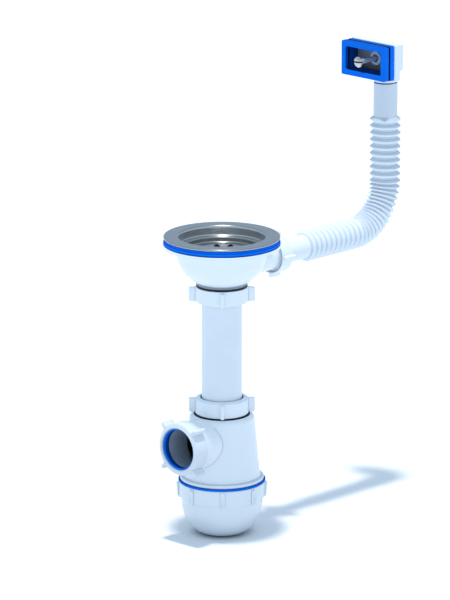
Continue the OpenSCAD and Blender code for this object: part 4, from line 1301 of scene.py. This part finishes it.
def duct_shape():
    """The flat duct behind the tray, that leads from the opening to the spigot."""
    top, foot, back = 17.9, -10.92, 29.5
    side = rounded([
        (22.2, top, 0.0), (23.0, top, 0.3), (26.9, top - 1.5, 0.8), (back, top, 0.4),
        (back, foot + 3, 0.8), (24.95, foot, 0.5), (22.2, foot, 0.0)], 4)
    return capped([
        [(FACE_X + min(depth, back - inset), FACE_Y + y,
          FACE_Z + min(max(z, foot + inset), top - inset)) for depth, z in side]
        for y, inset in (
            (-28.5, 0.5), (-28.3, 0.2), (-27.9, 0.0), (3.1, 0.0), (3.5, 0.2), (3.7, 0.5))])


def head_shape():
    """White housing: a shallow tray with soft edges, the duct behind it, its boss and spigot."""
    tall = HOUSING_TOP - HOUSING_FOOT
    rise = (HOUSING_TOP + HOUSING_FOOT) / 2 - FACE_Z
    tray = bmesh.new()
    for table in (TRAY_OUTSIDE, TRAY_INSIDE):
        made = add_rings(tray, box_rings(table, HOUSING_W, tall, rise))
        tray.faces.new(made[-1])
    bmesh.ops.remove_doubles(tray, verts=tray.verts, dist=1e-4)
    to_face = shift(FACE_X, FACE_Y, FACE_Z) @ Matrix.Rotation(pi / 2, 4, "Y")
    ring = lathed([(3.7, 18.9, 0.4), (SCREW_RING_R, 18.9, 0.5), (SCREW_RING_R, 21.0, 0.0),
                   (3.7, 21.0, 0.0)], 3, 64)
    boss = lathed([
        (INSERT_R, 22.8, 0.0), (6.1, 22.8, 0.0), (6.1, 34.0, 0.6), (INSERT_BORE_R, 34.0, 0.3),
        (INSERT_BORE_R, 32.6, 0.0), (INSERT_R, 32.6, 0.0)], 3, 64)
    spigot_r = CUFF_R - CUFF_WALL - 0.08
    spigot_bore, collar_r = spigot_r - 1.8, CUFF_R - 0.6
    spigot_end = HOUSING_FOOT - 24
    pad_top = low("overflow_gasket", Z) - 0.3
    neck = lathed([
        (spigot_bore, spigot_end, 0.3), (spigot_r, spigot_end, 0.5),
        (spigot_r, HOUSING_FOOT, 0.2), (collar_r, HOUSING_FOOT, 0.3), (collar_r, pad_top, 0.4),
        (spigot_bore, pad_top, 0.3)], 3, 96)
    return joined([tray, duct_shape(), moved(ring, to_face), moved(boss, to_face),
                   moved(neck, shift(HEAD_X, 0, 0))])


def head_paint(centre, normal):
    """The tray's inside is in shade, its ring round the screw less, the hose's gap most."""
    side, rise = abs(centre.y - FACE_Y), abs(centre.z - FACE_Z)
    from_screw = hypot(side, rise)
    depth = centre.x - FACE_X
    if abs(normal.x) > 0.9 and from_screw < 2.5 and depth < 22:
        return "head_bore"
    if 18.5 < depth < 21.2 and from_screw < SCREW_RING_R + 0.25:
        # the ring's white plastic has painted shade, and the hole in its middle black painted
        # shade
        return "head_ring" if from_screw > 3.9 else "gap_shade"
    if 15.2 < depth < 21.0 and side < HOUSING_W / 2 - 4.9 and rise < 16:
        return "gap_shade" if abs(normal.x) < 0.5 else "head_bore"
    from_hose = hypot(centre.x - HEAD_X, centre.y)
    at_hose = centre.z < HOUSING_FOOT + 0.1 and from_hose < CUFF_R - 0.2
    return "gap_shade" if at_hose else "white_plastic"


# Operators: one for each piece or group of like pieces, and one for the stage


class TRAP_OT_strainer(bpy.types.Operator):
    """Make the pressed strainer and finish its screw"""

    bl_idname = "trap.strainer"
    bl_label = "Strainer"

    def execute(self, context):
        piece("strainer_sheet", strainer_shape(), "outlet", "strainer",
              strainer_paint)
        length = width("strainer_screw", Z) - SCREW_DOME
        rim = shift(0, 0, high("strainer_screw", Z) - SCREW_DOME)
        add_screw("strainer_screw", "outlet", rim, length, 0.0)
        return {"FINISHED"}


class TRAP_OT_bowl(bpy.types.Operator):
    """Make the outlet bowl and the gasket on its lip, and finish the brass insert"""

    bl_idname = "trap.bowl"
    bl_label = "Outlet bowl"

    def execute(self, context):
        piece("bowl_moulding", bowl_shape(), "outlet", "outlet_bowl", bowl_paint)
        piece("bowl_gasket", gasket_shape(), "outlet", "sink_gasket", gasket_paint)
        repaint("bowl_insert", "turned_brass")
        return {"FINISHED"}


class TRAP_OT_unions(bpy.types.Operator):
    """Make the winged union nuts, and finish the down pipe and the cone seals"""

    bl_idname = "trap.unions"
    bl_label = "Union nuts"

    def execute(self, context):
        large = (NUT_HOLE, NUT_R, width("upper_nut", Z))
        small = (CUFF_R + 0.9, SMALL_NUT_R, width("overflow_nut", X))
        large_wings = (WING_TIP, WING_TURN, WING_T)
        small_wings = (SMALL_WING_TIP, 0.0, SMALL_WING_T)
        above = shift(0, 0, high("upper_nut", Z)) @ FLIPPED
        below = shift(0, 0, low("lower_nut", Z))
        aside = toward_minus_x(OUTLET_Z) @ shift(0, 0, -high("outlet_nut", X))
        at_branch = toward_plus_x(BRANCH_Z) @ shift(0, 0, low("overflow_nut", X))
        # finishes for a nut's faces, outer edges and hole: a painted highlight on the edges and
        # black painted shade in the hole, or for the outlet nut plain edges and grey painted shade
        # in its hole
        bright = ("white_plastic", "edge_plastic", "gap_shade")
        shaded = ("outlet_plastic", "outlet_plastic", "shaded_collar")
        for name, thread, nut, wings, place, finishes in (
            ("upper", NECK_R, large, large_wings, above, bright),
            ("lower", NECK_R, large, large_wings, below, bright),
            ("outlet", NECK_R, large, large_wings, aside, shaded),
            ("overflow", STUB_THREAD_R, small, small_wings, at_branch, bright),
        ):
            shape = moved(nut_shape(thread, *nut, *wings), place)
            body = f"{name}_nut"
            piece(f"{name}_winged_nut", shape, body, body,
                  nut_paint(place, *nut, *finishes))
        seal = moved(outlet_seal_shape(), toward_minus_x(OUTLET_Z))
        piece("outlet_cone_seal", seal, "outlet_seal", "outlet_seal",
              outlet_seal_paint)
        # the down pipe gets a lighter copy of the white plastic, painted light
        repaint("down_pipe", "pipe_plastic")
        # the hidden seals inside the nuts get near-black rubber, painted shade
        for name in ("upper_seal", "lower_seal", "overflow_seal"):
            repaint(name, "rubber_gap")
        return {"FINISHED"}


class TRAP_OT_bottle(bpy.types.Operator):
    """Make the bottle body, the blue ring and the cup"""

    bl_idname = "trap.bottle"
    bl_label = "Bottle"

    def execute(self, context):
        piece("bottle_moulding", bottle_shape(), "bottle", "bottle_body",
              bottle_paint)
        piece("cup_ring", cup_ring_shape(), "cup_seal", "cup_seal", cup_ring_paint)
        piece("ribbed_cup", cup_shape(), "cup", "bottle_cup", cup_paint)
        return {"FINISHED"}


class TRAP_OT_hose(bpy.types.Operator):
    """Make the corrugated overflow hose"""

    bl_idname = "trap.hose"
    bl_label = "Overflow hose"

    def execute(self, context):
        piece("corrugated_hose", hose_shape(), "hose", "overflow_hose", hose_paint,
              angle=48.0)
        return {"FINISHED"}


class TRAP_OT_head(bpy.types.Operator):
    """Make the overflow housing and its blue frame, and finish its screw and insert"""

    bl_idname = "trap.head"
    bl_label = "Overflow head"

    def execute(self, context):
        piece("head_housing", head_shape(), "head", "overflow_elbow", head_paint)
        piece("head_frame", frame_shape(), "head", "overflow_gasket", frame_paint)
        repaint("elbow_insert", "turned_brass")
        length = width("overflow_screw", X) - SCREW_DOME
        rim = shift(low("overflow_screw", X) + SCREW_DOME, FACE_Y, FACE_Z)
        toward_face = rim @ Matrix.Rotation(-pi / 2, 4, "Y")
        add_screw("overflow_screw", "head", toward_face, length, 95.0)
        return {"FINISHED"}


class TRAP_OT_stage(bpy.types.Operator):
    """Make the pale floor, the soft overhead light and the camera"""

    bl_idname = "trap.stage"
    bl_label = "Stage"

    def execute(self, context):
        make_floor()
        make_lights()
        make_camera()
        return {"FINISHED"}


# The stage


# The floor for the camera, and for light that bounces near the object and further out
FLOOR_SEEN = (0.95, 0.93, 0.92)
FLOOR_NEAR = (0.50, 0.54, 0.58)
FLOOR_BOUNCE = (0.80, 0.84, 0.88)
# a painted contact shadow on the floor round the cup's foot
CONTACT_SHADOW = (0.16, 0.17, 0.19)
SKY = (0.60, 0.79, 1.0, 1.0)
SKY_STRENGTH = 0.82
SUN_COLOUR = (1.0, 0.98, 0.95)
SUN_STRENGTH = 1.95
SUN_WIDTH = 4.0
SUN_TILT = (1.0, -2.8)
# The camera's turn from -Y, its rise, its distance, and its long lens
AZIMUTH = -46.0
ELEVATION = 14.85
DISTANCE = 5.220
SENSOR = 36.0
LENS = 318.0
AIM_RIGHT = 0.0031
AIM_UP = -0.0635


def make_floor():
    """A plain floor, white for the camera outside the shadows, with a grey painted contact shadow
    where the cup stands.
    """
    shape = bmesh.new()
    bmesh.ops.create_grid(shape, x_segments=8, y_segments=8, size=40.0)
    mesh = mesh_of(shape, "floor")
    floor = linked("floor", mesh)
    floor.location = (0, 0, FLOOR_Z * MM - 0.0001)
    finish = Finish("pale_floor")
    camera, glossy, through = (
        finish.node("ShaderNodeLightPath", {}, {}, f"Is {kind} Ray")
        for kind in ("Camera", "Glossy", "Transmission"))
    shown = (camera + glossy + through).clamped()
    reach = finish.reach(finish.place())
    bounce = finish.mixed(reach.between(0.04, 0.30), FLOOR_NEAR, FLOOR_BOUNCE)
    # what the camera sees: the floor's white, with the painted contact shadow near the cup's foot
    white = finish.mixed(reach.between(0.015, 0.034) ** 0.6, CONTACT_SHADOW, FLOOR_SEEN)
    inputs = {0: shown, 6: bounce, 7: white}
    colour = finish.node("ShaderNodeMix", {"data_type": "RGBA"}, inputs, 2)
    finish.set(Base_Color=colour, Roughness=1.0, Specular_IOR_Level=0.0)
    mesh.materials.append(finish.material)


def make_lights():
    """A wide sun straight above and an even, slightly blue sky."""
    world = bpy.data.worlds.new("studio")
    world.use_nodes = True
    back = world.node_tree.nodes["Background"]
    back.inputs["Color"].default_value = SKY
    back.inputs["Strength"].default_value = SKY_STRENGTH
    bpy.context.scene.world = world
    lamp = bpy.data.lights.new("overhead", "SUN")
    lamp.energy = SUN_STRENGTH
    lamp.angle = radians(SUN_WIDTH)
    lamp.color = SUN_COLOUR
    sun = linked("overhead", lamp)
    sun.rotation_euler = (radians(SUN_TILT[0]), radians(SUN_TILT[1]), 0)


def make_camera():
    """The photograph's view: a long lens, a little above the horizon."""
    azimuth, elevation = radians(AZIMUTH), radians(ELEVATION)
    level = cos(elevation)
    right = Vector((cos(azimuth), sin(azimuth), 0.0))
    back = Vector((sin(azimuth) * level, -cos(azimuth) * level, sin(elevation)))
    lens = bpy.data.cameras.new("photo_view")
    lens.sensor_width = SENSOR
    lens.lens = LENS
    lens.clip_end = 200.0
    camera = linked("photo_view", lens)
    camera.location = right * AIM_RIGHT + Vector((0, 0, AIM_UP)) + back * DISTANCE
    camera.rotation_mode = "QUATERNION"
    camera.rotation_quaternion = (-back).to_track_quat("-Z", "Y")
    bpy.context.scene.camera = camera


OPERATORS = (
    TRAP_OT_strainer, TRAP_OT_bowl, TRAP_OT_unions, TRAP_OT_bottle, TRAP_OT_hose, TRAP_OT_head,
    TRAP_OT_stage)


class TRAP_PT_builder(bpy.types.Panel):
    """Sizes, colours and the buttons that build the trap"""

    bl_idname = "TRAP_PT_builder"
    bl_label = "Sink trap"
    bl_space_type = "VIEW_3D"
    bl_region_type = "UI"
    bl_category = "Sink trap"

    def draw(self, context):
        for group in (context.scene.trap_sizes, context.scene.trap_colours):
            for name in group.bl_rna.properties.keys():
                if name not in ("rna_type", "name"):
                    self.layout.prop(group, name)
        for operator in OPERATORS:
            self.layout.operator(operator.bl_idname)


CLASSES = (TrapSizes, TrapColours, *OPERATORS, TRAP_PT_builder)


def register():
    for made in CLASSES:
        bpy.utils.register_class(made)
    bpy.types.Scene.trap_sizes = PointerProperty(type=TrapSizes)
    bpy.types.Scene.trap_colours = PointerProperty(type=TrapColours)


def unregister():
    del bpy.types.Scene.trap_colours
    del bpy.types.Scene.trap_sizes
    for made in reversed(CLASSES):
        bpy.utils.unregister_class(made)


def main():
    register()
    bpy.context.scene.view_settings.view_transform = "Standard"
    bpy.ops.trap.strainer()
    bpy.ops.trap.bowl()
    bpy.ops.trap.unions()
    bpy.ops.trap.bottle()
    bpy.ops.trap.hose()
    bpy.ops.trap.head()
    bpy.ops.trap.stage()


if __name__ == "__main__":
    main()
